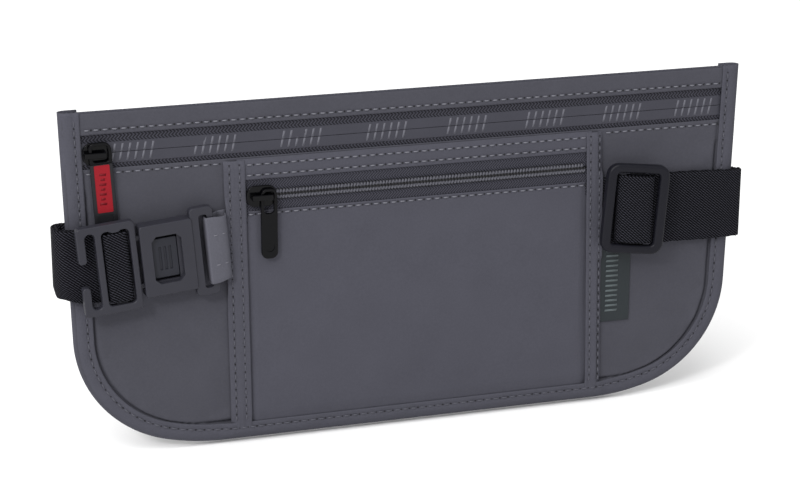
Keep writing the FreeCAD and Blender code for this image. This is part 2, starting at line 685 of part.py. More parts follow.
make_main_pull_loop()
make_main_pull_tab()
make_main_pull_inlay()
make_pocket_puller()

# ---------------------------------------------------------------- strap


def band_loop(points, thickness, radius):
    """The edges of a band of webbing along a path: corners and their radii, once round."""
    sides = {1: [], -1: []}
    radii = {1: [], -1: []}
    last = len(points) - 1
    for i, point in enumerate(points):
        before = (point - points[i - 1]).normalize() if i > 0 else None
        after = (points[i + 1] - point).normalize() if i < last else None
        into = before or after
        out = after or before
        normals = [V(-d.y, d.x, 0) for d in (into, out)]
        middle = (normals[0] + normals[1]).normalize()
        reach = thickness / 2 / middle.dot(normals[0])
        turn = into.x * out.y - into.y * out.x
        for side in (1, -1):
            sides[side].append(point + middle * (reach * side))
            inner = turn * side > 0
            radii[side].append(0 if abs(turn) < 1e-9 else radius + (-0.5 if inner else 0.5) * thickness)
    return sides[1] + sides[-1][::-1], radii[1] + radii[-1][::-1]


def webbing_band(label, path, thickness, radius, half_height):
    """A band whose path is given as (x, front distance) pairs, as wide as the strap."""
    body = new_body(label)
    corners, radii = band_loop([V(x, -front, 0) for x, front in path], thickness, radius)
    sketch = new_sketch(body, "XY_Plane")
    rounded_loop(sketch, corners, radii)
    add_pad(body, sketch, f"2 * {half_height}", both_ways=True)
    return body


WEBBING = dim("webbing")
FOLD = dim("fold_radius")
LAYER = dim("strap_layer")
STRAP_HALF = "Dims.strap_width / 2"
outer_back = WEBBING / 2
inner_back = outer_back + LAYER

webbing_band(
    "strap_outer_run",
    (
        (dim("anchor_start"), dim("anchor_level")),
        (dim("anchor_flat"), dim("anchor_level")),
        (dim("anchor_risen"), dim("front_outer")),
        (dim("fold_right"), dim("front_outer")),
        (dim("fold_right"), outer_back),
        (-dim("strap_end"), outer_back),
    ),
    WEBBING, FOLD, STRAP_HALF,
)
webbing_band(
    "strap_inner_run",
    (
        (dim("inner_start"), dim("front_outer") - LAYER),
        (dim("fold_right") - LAYER, dim("front_outer") - LAYER),
        (dim("fold_right") - LAYER, inner_back),
        (-dim("strap_end"), inner_back),
    ),
    WEBBING, FOLD - 1, STRAP_HALF,
)
webbing_band(
    "strap_left_turn_outer",
    (
        (-dim("left_outer_end"), dim("left_outer")),
        (-dim("fold_left"), dim("left_outer")),
        (-dim("fold_left"), outer_back),
        (-dim("strap_end") - 0.1, outer_back),
    ),
    WEBBING, FOLD, STRAP_HALF,
)
webbing_band(
    "strap_left_turn_inner",
    (
        (-dim("left_inner_end"), dim("left_outer") - LAYER),
        (-dim("fold_left") + LAYER, dim("left_outer") - LAYER),
        (-dim("fold_left") + LAYER, inner_back),
        (-dim("strap_end") - 0.1, inner_back),
    ),
    WEBBING, 1.0, STRAP_HALF,
)

# ---------------------------------------------------------------- buckle


def buckle_place():
    """From the buckle's own frame to the belt's: rolled in the pouch's plane, then turned about Z."""
    turn = FreeCAD.Rotation(V(0, 0, 1), dim("buckle_yaw"))
    turn = turn.multiply(FreeCAD.Rotation(V(0, -1, 0), dim("buckle_roll")))
    return FreeCAD.Placement(V(dim("buckle_x"), -dim("buckle_front"), dim("buckle_z")), turn)


def make_buckle_plug():
    """Frame with a hook slot and a strap window, a sunk strap bar, and a tongue for the socket."""
    body = new_body("buckle_plug")
    back = "Dims.plug_back"
    full = "Dims.buckle_top - Dims.plug_back"
    frame = new_sketch(body, "XZ_Plane", back)
    half = dim("plug_half")
    rounded_rectangle(frame, dim("plug_left"), dim("plug_right"), -half, half, 1.8)
    add_pad(body, frame, full)
    slot = new_sketch(body, "XZ_Plane", back)
    reach = dim("slot_half")
    rounded_rectangle(slot, dim("slot_left"), dim("slot_right"), -reach, reach, 1.9)
    add_pocket(body, slot, full)
    mouth = new_sketch(body, "XZ_Plane", back)
    bound_rectangle(mouth, "Dims.plug_left - 1", "Dims.slot_left + 0.5", "Dims.mouth_low", "Dims.mouth_top")
    add_pocket(body, mouth, full)
    window = new_sketch(body, "XZ_Plane", back)
    left, right, high = dim("window_left"), dim("window_right"), dim("window_half")
    brow = 0.8
    middle = (left + right) / 2
    corners = (
        V(left, -high, 0), V(right, -high, 0), V(right, high, 0), V(middle + 2.6, high, 0),
        V(middle + 1.2, high - brow, 0), V(middle - 1.2, high - brow, 0), V(middle - 2.6, high, 0), V(left, high, 0),
    )
    rounded_loop(window, corners, (1.8, 1.8, 1.8, 0.8, 0.8, 0.8, 0.8, 1.8))
    add_pocket(body, window, full)
    tips = (dim("mouth_top"), dim("mouth_low"))

    def prong_end(edge):
        box = edge.BoundBox
        upright = box.XLength < 1e-4 and box.ZLength < 1e-4
        return upright and edge.CenterOfMass.x < dim("slot_left") + 0.1 and min(
            abs(edge.CenterOfMass.z - tip) for tip in tips
        ) < 0.1

    add_fillet(body, "Dims.prong_radius", prong_end)
    add_fillet(body, "Dims.hard_edge", lies_at(dim("buckle_top")))
    bar = new_sketch(body, "XZ_Plane", "Dims.bar_back")
    bound_rectangle(bar, "Dims.bar_left", "Dims.bar_right", "-Dims.window_half - 1", "Dims.window_half + 1")
    add_pad(body, bar, "Dims.bar_depth")
    for low, high in (
        ("Dims.tongue_half - Dims.rail", "Dims.tongue_half"),
        ("-Dims.tongue_half", "-Dims.tongue_half + Dims.rail"),
    ):
        rail = new_sketch(body, "XZ_Plane", back)
        bound_rectangle(rail, "Dims.plug_right - 1", "Dims.tongue_end", low, high)
        add_pad(body, rail, "Dims.tongue_depth")
    end = new_sketch(body, "XZ_Plane", back)
    bound_rectangle(end, "Dims.tongue_end - Dims.rail", "Dims.tongue_end", "-Dims.tongue_half", "Dims.tongue_half")
    add_pad(body, end, "Dims.tongue_depth")
    body.Placement = buckle_place()


def make_buckle_socket():
    """Box that takes the tongue, a window over the button, and a loop for the cloth tab."""
    body = new_body("buckle_socket")
    box = new_sketch(body, "XZ_Plane")
    half = dim("socket_half")
    rounded_rectangle(box, dim("socket_left"), dim("socket_right"), -half, half, 1.2)
    add_pad(body, box, "Dims.buckle_top")
    add_fillet(body, "Dims.hard_edge", lies_at(dim("buckle_top")))
    loop = new_sketch(body, "XZ_Plane", "Dims.loop_back")
    reach = dim("plug_half")
    rounded_rectangle(loop, dim("socket_right") - 0.8, dim("loop_right"), -reach, reach, 1.8)
    add_pad(body, loop, "Dims.loop_front - Dims.loop_back")

    def loop_rim(edge):
        return lies_at(dim("loop_front"))(edge) and edge.CenterOfMass.x > dim("socket_right") + 0.2

    add_fillet(body, "Dims.hard_edge", loop_rim)
    slot = new_sketch(body, "XZ_Plane", "Dims.loop_back")
    opening = dim("tab_slot_half")
    rounded_rectangle(slot, dim("tab_slot_left"), dim("tab_slot_right"), -opening, opening, 1.2)
    add_pocket(body, slot, "Dims.loop_front - Dims.loop_back")
    cavity = new_sketch(body, "XZ_Plane", "Dims.cavity_back")
    bound_rectangle(
        cavity, "Dims.socket_left - 1", "Dims.cavity_right", "-Dims.cavity_half", "Dims.cavity_half"
    )
    add_pocket(body, cavity, "Dims.cavity_front - Dims.cavity_back")
    port = new_sketch(body, "XZ_Plane", "Dims.cavity_front")
    left, right, high, cut = "Dims.port_left", "Dims.port_right", "Dims.port_half", "Dims.port_chamfer"
    bound_polygon(
        port,
        (
            (f"{left} + {cut}", f"-{high}"), (f"{right} - {cut}", f"-{high}"),
            (right, f"-{high} + {cut}"), (right, f"{high} - {cut}"),
            (f"{right} - {cut}", high), (f"{left} + {cut}", high),
            (left, f"{high} - {cut}"), (left, f"-{high} + {cut}"),
        ),
    )
    add_pocket(body, port, "Dims.buckle_top - Dims.cavity_front + 1")
    body.Placement = buckle_place()


def make_release_button():
    body = new_body("release_button")
    face = new_sketch(body, "XZ_Plane", "Dims.button_back")
    rounded_rectangle(face, dim("button_left"), dim("button_right"), dim("button_low"), dim("button_top"), 0.8)
    add_pad(body, face, "Dims.button_depth")
    front = dim("button_back") + dim("button_depth")
    add_fillet(body, "Dims.metal_edge", lies_at(front))
    middle = "(Dims.button_left + Dims.button_right) / 2"
    for step in (-2, 0, 2):
        groove = new_sketch(body, "XZ_Plane", "Dims.button_back + Dims.button_depth - Dims.button_groove_sunk")
        left = f"{middle} + {step} - Dims.button_groove / 2"
        right = f"{middle} + {step} + Dims.button_groove / 2"
        bound_rectangle(groove, left, right, "-Dims.button_groove_half", "Dims.button_groove_half")
        add_pocket(body, groove, "Dims.button_groove_sunk + 1")
    body.Placement = buckle_place()


make_buckle_plug()
make_buckle_socket()
make_release_button()

# The cloth tab leaves the seam, goes over the outer bar of the socket's loop and comes back.
tab = webbing_band(
    "buckle_tab",
    (
        (dim("tab_sewn"), dim("tab_front_end")),
        (dim("tab_front_flat"), dim("tab_front_end")),
        (dim("tab_turn"), dim("tab_over")),
        (dim("tab_wrap"), dim("tab_over")),
        (dim("tab_wrap"), dim("tab_under")),
        (dim("tab_turn"), dim("tab_under")),
        (dim("tab_rear_flat"), dim("tab_rear_end")),
        (dim("tab_sewn"), dim("tab_rear_end")),
    ),
    dim("tab_cloth"), dim("tab_fold"), "Dims.tab_half",
)
tab.Placement = buckle_place()

# The strap's bight over the plug's sunk bar.
bight_left = dim("bar_left") - dim("bight_reach")
bight_right = dim("bar_right") + dim("bight_reach")
bight = webbing_band(
    "strap_buckle_bight",
    (
        (bight_left, dim("bight_low")), (bight_left, dim("bight_high")),
        (bight_right, dim("bight_high")), (bight_right, dim("bight_low")),
    ),
    WEBBING, dim("bight_fold"), "(Dims.strap_width / 2 - Dims.bight_narrow)",
)
bight.Placement = buckle_place()

# ---------------------------------------------------------------- tri-glide


def glide_place():
    turn = FreeCAD.Rotation(V(0, 0, 1), dim("glide_yaw"))
    turn = turn.multiply(FreeCAD.Rotation(V(1, 0, 0), dim("glide_pitch")))
    turn = turn.multiply(FreeCAD.Rotation(V(0, -1, 0), dim("glide_roll")))
    return FreeCAD.Placement(V(dim("glide_x"), -dim("glide_front"), dim("glide_z")), turn)


def make_strap_adjuster():
    """Rounded frame with a middle bar."""
    body = new_body("strap_adjuster")
    across = dim("glide_width") / 2
    up = dim("glide_height") / 2
    frame = new_sketch(body, "XZ_Plane")
    rounded_rectangle(frame, -across, across, -up, up, dim("glide_corner"))
    inner = across - dim("glide_bar")
    high = up - dim("glide_rail")
    rounded_rectangle(frame, -inner, inner, -high, high, dim("glide_inner_corner"))
    add_pad(body, frame, "Dims.glide_depth")
    add_fillet(body, "Dims.glide_edge", lies_at(dim("glide_depth")))
    add_fillet(body, "Dims.glide_edge", lies_at(0))
    bar = new_sketch(body, "XZ_Plane", "Dims.glide_bar_back")
    reach = "Dims.glide_height / 2 - Dims.glide_rail / 2"
    bound_rectangle(bar, "-Dims.glide_bar_half", "Dims.glide_bar_half", f"-({reach})", reach)
    add_pad(body, bar, "Dims.glide_bar_depth")
    body.Placement = glide_place()


make_strap_adjuster()

# The strap's sewn end round the middle bar, and the bight that goes over both.
loop_reach = dim("glide_bar_half") + dim("sewn_reach")
loop = webbing_band(
    "strap_adjuster_loop",
    (
        (dim("sewn_end"), dim("sewn_low")), (-loop_reach, dim("sewn_low")),
        (-loop_reach, dim("sewn_high")), (dim("sewn_end"), dim("sewn_high")),
    ),
    WEBBING, 0.8, "(Dims.strap_width / 2 - Dims.glide_narrow)",
)
loop.Placement = glide_place()
over = webbing_band(
    "strap_adjuster_bight",
    (
        (-dim("over_end"), dim("over_low")), (-dim("over_flat"), dim("over_high")),
        (dim("over_flat"), dim("over_high")), (dim("over_end"), dim("over_low")),
    ),
    WEBBING, 1.2, "(Dims.strap_width / 2 - Dims.glide_narrow)",
)
over.Placement = glide_place()

# ---------------------------------------------------------------- checks and export

doc.recompute()
for item in doc.Objects:
    if "Invalid" in item.State or "Error" in item.State:
        raise RuntimeError(f"{item.Label}: {item.State}")

os.makedirs("parts", exist_ok=True)
for item in doc.findObjects("PartDesign::Body"):
    shape = item.Shape
    if shape.isNull() or not shape.isValid():
        raise RuntimeError(f"{item.Label}: bad shape")
    print(f"{item.Label}: {len(shape.Solids)} solid, {shape.Volume:.1f} mm3")
    shape.exportStep(f"parts/{item.Label}.step")
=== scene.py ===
import math

import bpy
import numpy as np
from mathutils import Matrix, Vector


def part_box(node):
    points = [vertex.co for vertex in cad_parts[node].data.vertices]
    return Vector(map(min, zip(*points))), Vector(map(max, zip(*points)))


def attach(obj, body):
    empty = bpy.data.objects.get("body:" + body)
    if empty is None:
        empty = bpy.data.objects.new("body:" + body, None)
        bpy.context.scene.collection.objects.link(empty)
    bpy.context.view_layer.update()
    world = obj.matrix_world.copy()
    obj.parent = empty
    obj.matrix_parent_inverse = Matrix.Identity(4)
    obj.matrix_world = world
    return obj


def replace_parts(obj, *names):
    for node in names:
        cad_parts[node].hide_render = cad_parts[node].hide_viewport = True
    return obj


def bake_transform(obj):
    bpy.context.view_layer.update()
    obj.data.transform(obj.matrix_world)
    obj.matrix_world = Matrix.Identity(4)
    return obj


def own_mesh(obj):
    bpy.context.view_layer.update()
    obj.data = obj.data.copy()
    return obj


# Money belt: the looks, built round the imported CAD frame.
# Points are (x, front, z) in millimetres. "Front" is how far a point stands towards the
# front, which is -Y in the frame; on_frame() turns such points into metres.

MM = 0.001

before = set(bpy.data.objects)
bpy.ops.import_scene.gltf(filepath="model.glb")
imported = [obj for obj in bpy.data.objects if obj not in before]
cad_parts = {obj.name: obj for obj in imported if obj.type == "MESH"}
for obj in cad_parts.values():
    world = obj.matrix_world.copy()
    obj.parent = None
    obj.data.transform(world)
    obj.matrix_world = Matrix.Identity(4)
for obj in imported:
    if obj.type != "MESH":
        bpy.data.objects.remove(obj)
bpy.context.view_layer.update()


def span(node):
    """A CAD node's box in millimetres, named as this script names directions."""
    low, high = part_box(node)
    return {
        "left": low.x / MM, "right": high.x / MM,
        "low": low.z / MM, "high": high.z / MM,
        "back": -high.y / MM, "front": -low.y / MM,
    }


def on_frame(points):
    return np.asarray(points, float) * (MM, -MM, MM)


# ---------------------------------------------------------------- materials


def tone(red, green, blue):
    """A colour given as 0-255 display values."""
    def linear(value):
        value /= 255
        return value / 12.92 if value <= 0.04045 else ((value + 0.055) / 1.055) ** 2.4
    return (linear(red), linear(green), linear(blue), 1.0)


class Look:
    """One node material; u and v are millimetres on the piece, place is millimetres in the frame."""

    def __init__(self, name, colour, roughness, **uniform):
        self.material = bpy.data.materials.new(name)
        self.material.use_nodes = True
        self.tree = self.material.node_tree
        self.shader = self.tree.nodes["Principled BSDF"]
        self.shader.inputs["Base Color"].default_value = colour
        self.shader.inputs["Roughness"].default_value = roughness
        for socket, value in uniform.items():
            self.shader.inputs[socket.replace("_", " ")].default_value = value
        split = self.node("ShaderNodeSeparateXYZ", {"Vector": self.node("ShaderNodeUVMap").outputs[0]})
        self.u, self.v = split.outputs[0], split.outputs[1]
        scaled = self.node("ShaderNodeVectorMath", {0: self.node("ShaderNodeTexCoord").outputs["Object"]})
        scaled.operation = "SCALE"
        scaled.inputs["Scale"].default_value = 1 / MM
        self.place = scaled.outputs[0]

    def node(self, kind, links=None):
        made = self.tree.nodes.new(kind)
        for socket, source in (links or {}).items():
            self.put(made.inputs[socket], source)
        return made

    def put(self, socket, source):
        if isinstance(source, bpy.types.NodeSocket):
            self.tree.links.new(source, socket)
        else:
            socket.default_value = source

    def math(self, operation, a, b=0.0, c=0.0):
        made = self.node("ShaderNodeMath", {0: a, 1: b, 2: c})
        made.operation = operation
        return made.outputs[0]

    def wave(self, along, pitch):
        """0 to 1 and back once in each pitch."""
        turned = self.math("SINE", self.math("MULTIPLY", along, 2 * math.pi / pitch))
        return self.math("MULTIPLY_ADD", turned, 0.5, 0.5)

    def slanted(self, across):
        """A coordinate that runs at a slant: u plus v times across."""
        return self.math("MULTIPLY_ADD", self.v, across, self.u)

    def noise(self, size, detail=2.0, stretch=(1, 1, 1)):
        """Noise from 0 to 1 whose lumps are about size millimetres."""
        mapped = self.node("ShaderNodeMapping", {"Vector": self.place})
        mapped.inputs["Scale"].default_value = stretch
        made = self.node("ShaderNodeTexNoise", {"Vector": mapped.outputs[0]})
        made.inputs["Scale"].default_value = 1 / size
        made.inputs["Detail"].default_value = detail
        return made.outputs[0]

    def colour(self, factor, dark, light, start=0.0, end=1.0):
        """Base colour from dark at start to light at end."""
        ramp = self.node("ShaderNodeValToRGB", {"Fac": factor})
        ramp.color_ramp.elements[0].position = start
        ramp.color_ramp.elements[1].position = end
        ramp.color_ramp.elements[0].color = dark
        ramp.color_ramp.elements[1].color = light
        self.put(self.shader.inputs["Base Color"], ramp.outputs[0])

    def roughness(self, factor, low, high):
        spread = self.node("ShaderNodeMapRange", {"Value": factor, "To Min": low, "To Max": high})
        self.put(self.shader.inputs["Roughness"], spread.outputs[0])

    def bump(self, height, depth):
        """Relief of the given depth in millimetres, on top of any relief already there."""
        relief = self.node("ShaderNodeBump", {"Height": height, "Distance": depth * MM})
        socket = self.shader.inputs["Normal"]
        if socket.links:
            self.put(relief.inputs["Normal"], socket.links[0].from_socket)
        self.put(socket, relief.outputs[0])


def shade(colour, factor):
    return tuple(part * factor for part in colour[:3]) + (1.0,)


def cloth_look(name, colour, pitch, relief=0.035, roughness=0.85):
    """Plain weave with slightly uneven dye."""
    look = Look(name, colour, roughness, Specular_IOR_Level=0.12)
    weave = look.math("MULTIPLY", look.wave(look.u, pitch), look.wave(look.v, pitch))
    uneven = look.math("MULTIPLY_ADD", look.noise(0.8), 0.6, look.math("MULTIPLY", look.noise(16), 0.35))
    look.colour(look.math("MULTIPLY_ADD", weave, 0.3, uneven), shade(colour, 0.8), shade(colour, 1.22))
    look.bump(look.noise(3.5, 3), relief * 2)
    look.bump(weave, relief)
    return look.material


def thread_look(name, colour):
    look = Look(name, colour, 0.6, Specular_IOR_Level=0.3)
    twist = look.wave(look.slanted(1.0), 0.35)
    look.colour(twist, shade(colour, 0.8), shade(colour, 1.2))
    look.bump(twist, 0.04)
    return look.material


def tape_look(name, colour, rib, stripe, relief, contrast):
    """Zip tape: slanted ribs that turn back at each stripe."""
    look = Look(name, colour, 0.75, Specular_IOR_Level=0.15)
    folded = look.math("PINGPONG", look.v, stripe)
    ribs = look.wave(look.math("ADD", look.u, folded), rib)
    grain = look.math("MULTIPLY_ADD", look.noise(0.5), 0.3, look.math("MULTIPLY", ribs, 0.7))
    look.colour(grain, shade(colour, 1 - contrast), shade(colour, 1 + contrast), 0.2, 0.85)
    look.bump(ribs, relief)
    return look.material


def webbing_look(name, colour, glint):
    """Elastic webbing: slanted ribs broken into short floats, and fine lengthwise cords; the rib crowns carry
    a painted highlight up to the glint colour.
    """
    look = Look(name, colour, 0.75, Specular_IOR_Level=0.05)
    ribs = look.wave(look.slanted(1.28), 1.47)
    floats = look.wave(look.v, 0.75)
    broken = look.math("MULTIPLY", ribs, look.math("MULTIPLY_ADD", floats, 0.45, 0.55))
    # Painted highlight on the rib crowns, mixed with a little random grain.
    rib_glint_and_grain = look.math("MULTIPLY_ADD", look.noise(0.8), 0.3, look.math("MULTIPLY", broken, 0.85))
    look.colour(rib_glint_and_grain, colour, glint, 0.38, 0.95)
    look.bump(broken, 0.25)
    look.bump(look.noise(0.5), 0.05)
    return look.material


def plastic_look(name, colour, roughness, grain=0.5, relief=0.012, specular=0.2):
    """Moulded plastic: fine spark texture, slightly uneven gloss."""
    look = Look(name, colour, roughness, Specular_IOR_Level=specular)
    fine = look.noise(grain, 3)
    look.colour(look.math("MULTIPLY_ADD", fine, 0.5, look.math("MULTIPLY", look.noise(9), 0.5)),
                shade(colour, 0.85), shade(colour, 1.15))
    look.roughness(look.noise(5), roughness - 0.06, roughness + 0.06)
    look.bump(fine, relief)
    return look.material


def mesh_cloth_look(name, colour, pitch):
    """Air mesh: rows of small round holes."""
    look = Look(name, colour, 0.85, Specular_IOR_Level=0.12)
    holes = look.math("MULTIPLY", look.wave(look.slanted(0.5), pitch), look.wave(look.v, pitch))
    look.colour(holes, shade(colour, 1.25), shade(colour, 0.35))
    look.bump(look.math("SUBTRACT", 1.0, holes), 0.35)
    return look.material


def satin_look(name, colour):
    look = Look(name, colour, 0.5, Anisotropic=0.3, Specular_IOR_Level=0.2)
    ribs = look.wave(look.v, 0.3)
    look.colour(look.math("MULTIPLY_ADD", look.noise(0.6), 0.5, look.math("MULTIPLY", ribs, 0.5)),
                shade(colour, 0.8), shade(colour, 1.25))
    look.bump(ribs, 0.03)
    return look.material


cloth = cloth_look("cloth", tone(65, 65, 72), 0.42)
pocket_cloth = cloth_look("pocket_cloth", tone(67, 67, 75), 0.42)
binding_cloth = cloth_look("binding_cloth", tone(68, 68, 76), 0.6, relief=0.05)
tab_cloth = cloth_look("tab_cloth", tone(79, 79, 87), 0.6, relief=0.04, roughness=0.65)
light_thread = thread_look("light_thread", tone(104, 104, 112))
dark_thread = thread_look("dark_thread", tone(46, 46, 53))
binding_thread = thread_look("binding_thread", tone(76, 76, 84))
# Near-black beads at the needle holes between stitches: painted shade of the dimples there.
stitch_hole_shade = thread_look("stitch_hole_shade", tone(22, 22, 26))
main_tape = tape_look("main_tape", tone(46, 46, 53), 1.4, 1.25, 0.2, 0.65)
pocket_tape = tape_look("pocket_tape", tone(52, 52, 60), 1.2, 2.3, 0.2, 0.5)
film = plastic_look("film", tone(55, 55, 63), 0.5, grain=0.8, relief=0.01, specular=0.2)
film_print = plastic_look("film_print", tone(92, 92, 100), 0.5, grain=0.5, relief=0.01, specular=0.2)
black_metal = plastic_look("black_metal", tone(4, 4, 6), 0.14, grain=1.5, relief=0.006, specular=0.14)
black_plastic = plastic_look("black_plastic", tone(5, 5, 7), 0.2, grain=1.2, relief=0.008, specular=0.12)
black_rubber = plastic_look("black_rubber", tone(22, 22, 26), 0.5, grain=0.35, relief=0.02, specular=0.25)
red_rubber = plastic_look("red_rubber", tone(130, 17, 28), 0.5, grain=0.35, relief=0.02, specular=0.15)
red_print = plastic_look("red_print", tone(100, 13, 22), 0.55, grain=0.35, relief=0.02, specular=0.15)
buckle_plastic = plastic_look("buckle_plastic", tone(43, 43, 50), 0.4, grain=0.4, relief=0.02)
button_plastic = plastic_look("button_plastic", tone(34, 35, 42), 0.42, grain=0.4, relief=0.02)
glide_plastic = plastic_look("glide_plastic", tone(22, 22, 28), 0.34, grain=0.4, relief=0.02, specular=0.12)
# The webbing's second colour is the painted highlight on its ribs.
webbing = webbing_look("webbing", tone(2, 2, 3), tone(56, 56, 64))
label_satin = satin_look("label_satin", tone(36, 41, 44))
label_weave = thread_look("label_weave", tone(82, 90, 92))
back_mesh = mesh_cloth_look("back_mesh", tone(66, 66, 74), 1.8)
foil = satin_look("foil", tone(150, 152, 156))

def coil_look(name, dark, light):
    """Monofilament with a painted highlight along the crowns of its turns, dark plastic between them; v is
    the distance from the zip's middle.
    """
    look = Look(name, dark, 0.4, Specular_IOR_Level=0.3)
    away = look.math("ABSOLUTE", look.math("SUBTRACT", look.v, 1.15))
    # Painted highlight: the light colour on the crowns, falling off to the dark plastic away from them.
    look.colour(away, light, dark, 0.35, 0.85)
    look.bump(look.noise(0.4), 0.01)
    return look.material


# The second colour is the painted highlight on the coil's crowns.
coil_plastic = coil_look("coil_plastic", tone(12, 12, 15), tone(88, 88, 96))

CAD_LOOKS = {
    "main_zip_slider": black_metal,
    "pocket_zip_slider": black_metal,
    "main_pull_loop": black_plastic,
    "main_pull_tab": black_rubber,
    "main_pull_inlay": red_rubber,
    "pocket_zip_puller": black_plastic,
    "buckle_plug": buckle_plastic,
    "buckle_socket": buckle_plastic,
    "release_button": button_plastic,
    "strap_adjuster": glide_plastic,
}
for node, material in CAD_LOOKS.items():
    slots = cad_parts[node].data.materials
    slots.clear()
    slots.append(material)

# ---------------------------------------------------------------- mesh helpers


def finish_mesh(name, points, faces, uv, material, body, place=None):
    """A smooth mesh piece. place, if given, takes the points from a part's own frame to the belt's."""
    world = on_frame(points)
    if place is not None:
        world = world @ np.array(place.to_3x3()).T + np.array(place.translation)
    mesh = bpy.data.meshes.new(name)
    mesh.from_pydata(world.tolist(), [], faces)
    corner = np.empty(len(mesh.loops), int)
    mesh.loops.foreach_get("vertex_index", corner)
    layer = mesh.uv_layers.new(name="UVMap")
    layer.data.foreach_set("uv", np.asarray(uv, float)[corner].ravel())
    mesh.materials.append(material)
    mesh.shade_smooth()
    piece = bpy.data.objects.new(name, mesh)
    bpy.context.scene.collection.objects.link(piece)
    if body is not None:
        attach(piece, body)
    return piece


def grid_faces(rows, columns, start=0, close=False):
    """Quads of a grid numbered row by row; close joins the last column to the first."""
    faces = []
    for j in range(rows - 1):
        for i in range(columns if close else columns - 1):
            k = (i + 1) % columns
            a, b = start + j * columns, start + (j + 1) * columns
            faces.append((a + i, a + k, b + k, b + i))
    return faces


def lines(start, end, step, seams=()):
    """Places of grid lines: even steps, finer ones at both edges and at seams."""
    even = np.linspace(start, end, max(2, int(abs(end - start) / step) + 1))
    extra = [start + e for e in (0.12, 0.35, 0.8)] + [end - e for e in (0.12, 0.35, 0.8)]
    for seam in seams:
        extra += [seam + e for e in (-1.6, -0.9, -0.45, 0, 0.45, 0.9, 1.6)]
    inside = [e for e in extra if start <= e <= end]
    found = np.unique(np.concatenate([even, inside]))
    keep = np.concatenate([[True], np.diff(found) > 0.04])
    return found[keep]


def sheet_piece(name, x, z, front, thickness, material, body="root", place=None):
    """Cloth with a front face over the grid x, z. Its edges are rounded off to half thickness."""
    rows, columns = x.shape
    j, i = np.indices(x.shape)
    rim = np.minimum(np.minimum(j, rows - 1 - j), np.minimum(i, columns - 1 - i))
    rounding = np.select([rim == 0, rim == 1, rim == 2], [0.42, 0.16, 0.04], 0.0) * thickness
    faces_at = (front - rounding, front - thickness + rounding)
    points = np.concatenate([np.stack([x, f, z], -1).reshape(-1, 3) for f in faces_at])
    front_faces = grid_faces(rows, columns)
    count = rows * columns
    back_faces = [tuple(count + n for n in reversed(face)) for face in front_faces]
    border = (
        [(0, i) for i in range(columns)]
        + [(j, columns - 1) for j in range(1, rows)]
        + [(rows - 1, i) for i in range(columns - 2, -1, -1)]
        + [(j, 0) for j in range(rows - 2, 0, -1)]
    )
    ring = [j * columns + i for j, i in border]
    rim_faces = [
        (a, a + count, b + count, b) for a, b in zip(ring, ring[1:] + ring[:1])
    ]
    uv = np.tile(np.stack([x, z], -1).reshape(-1, 2), (2, 1))
    return finish_mesh(name, points, front_faces + back_faces + rim_faces, uv, material, body, place)


def loft(name, rings, uv, material, body="root", place=None):
    """A closed tube through rings[k][n] = (x, front, z), with flat ends."""
    rings = np.asarray(rings, float)
    count, around = rings.shape[:2]
    faces = grid_faces(count, around, close=True)
    faces.append(tuple(range(around - 1, -1, -1)))
    faces.append(tuple(range((count - 1) * around, count * around)))
    return finish_mesh(name, rings.reshape(-1, 3), faces, uv, material, body, place)


def smooth(value):
    value = np.clip(value, 0.0, 1.0)
    return value * value * (3 - 2 * value)


def bell(distance, width):
    return np.exp(-((distance / width) ** 2))


def ripple(x, z, size, seed):
    """Gentle unevenness between about -1 and 1, with waves of about the given size."""
    chance = np.random.default_rng(seed)
    total = np.zeros_like(x)
    waves = 6
    for _ in range(waves):
        angle = chance.uniform(0, math.pi)
        length = size * chance.uniform(0.7, 1.6)
        phase = chance.uniform(0, 2 * math.pi)
        total += np.sin((x * math.cos(angle) + z * math.sin(angle)) * 2 * math.pi / length + phase)
    return total / math.sqrt(waves) / 1.5


STITCH_PITCH = 4.0
STITCH_RINGS = 7
STITCH_SIDES = 6


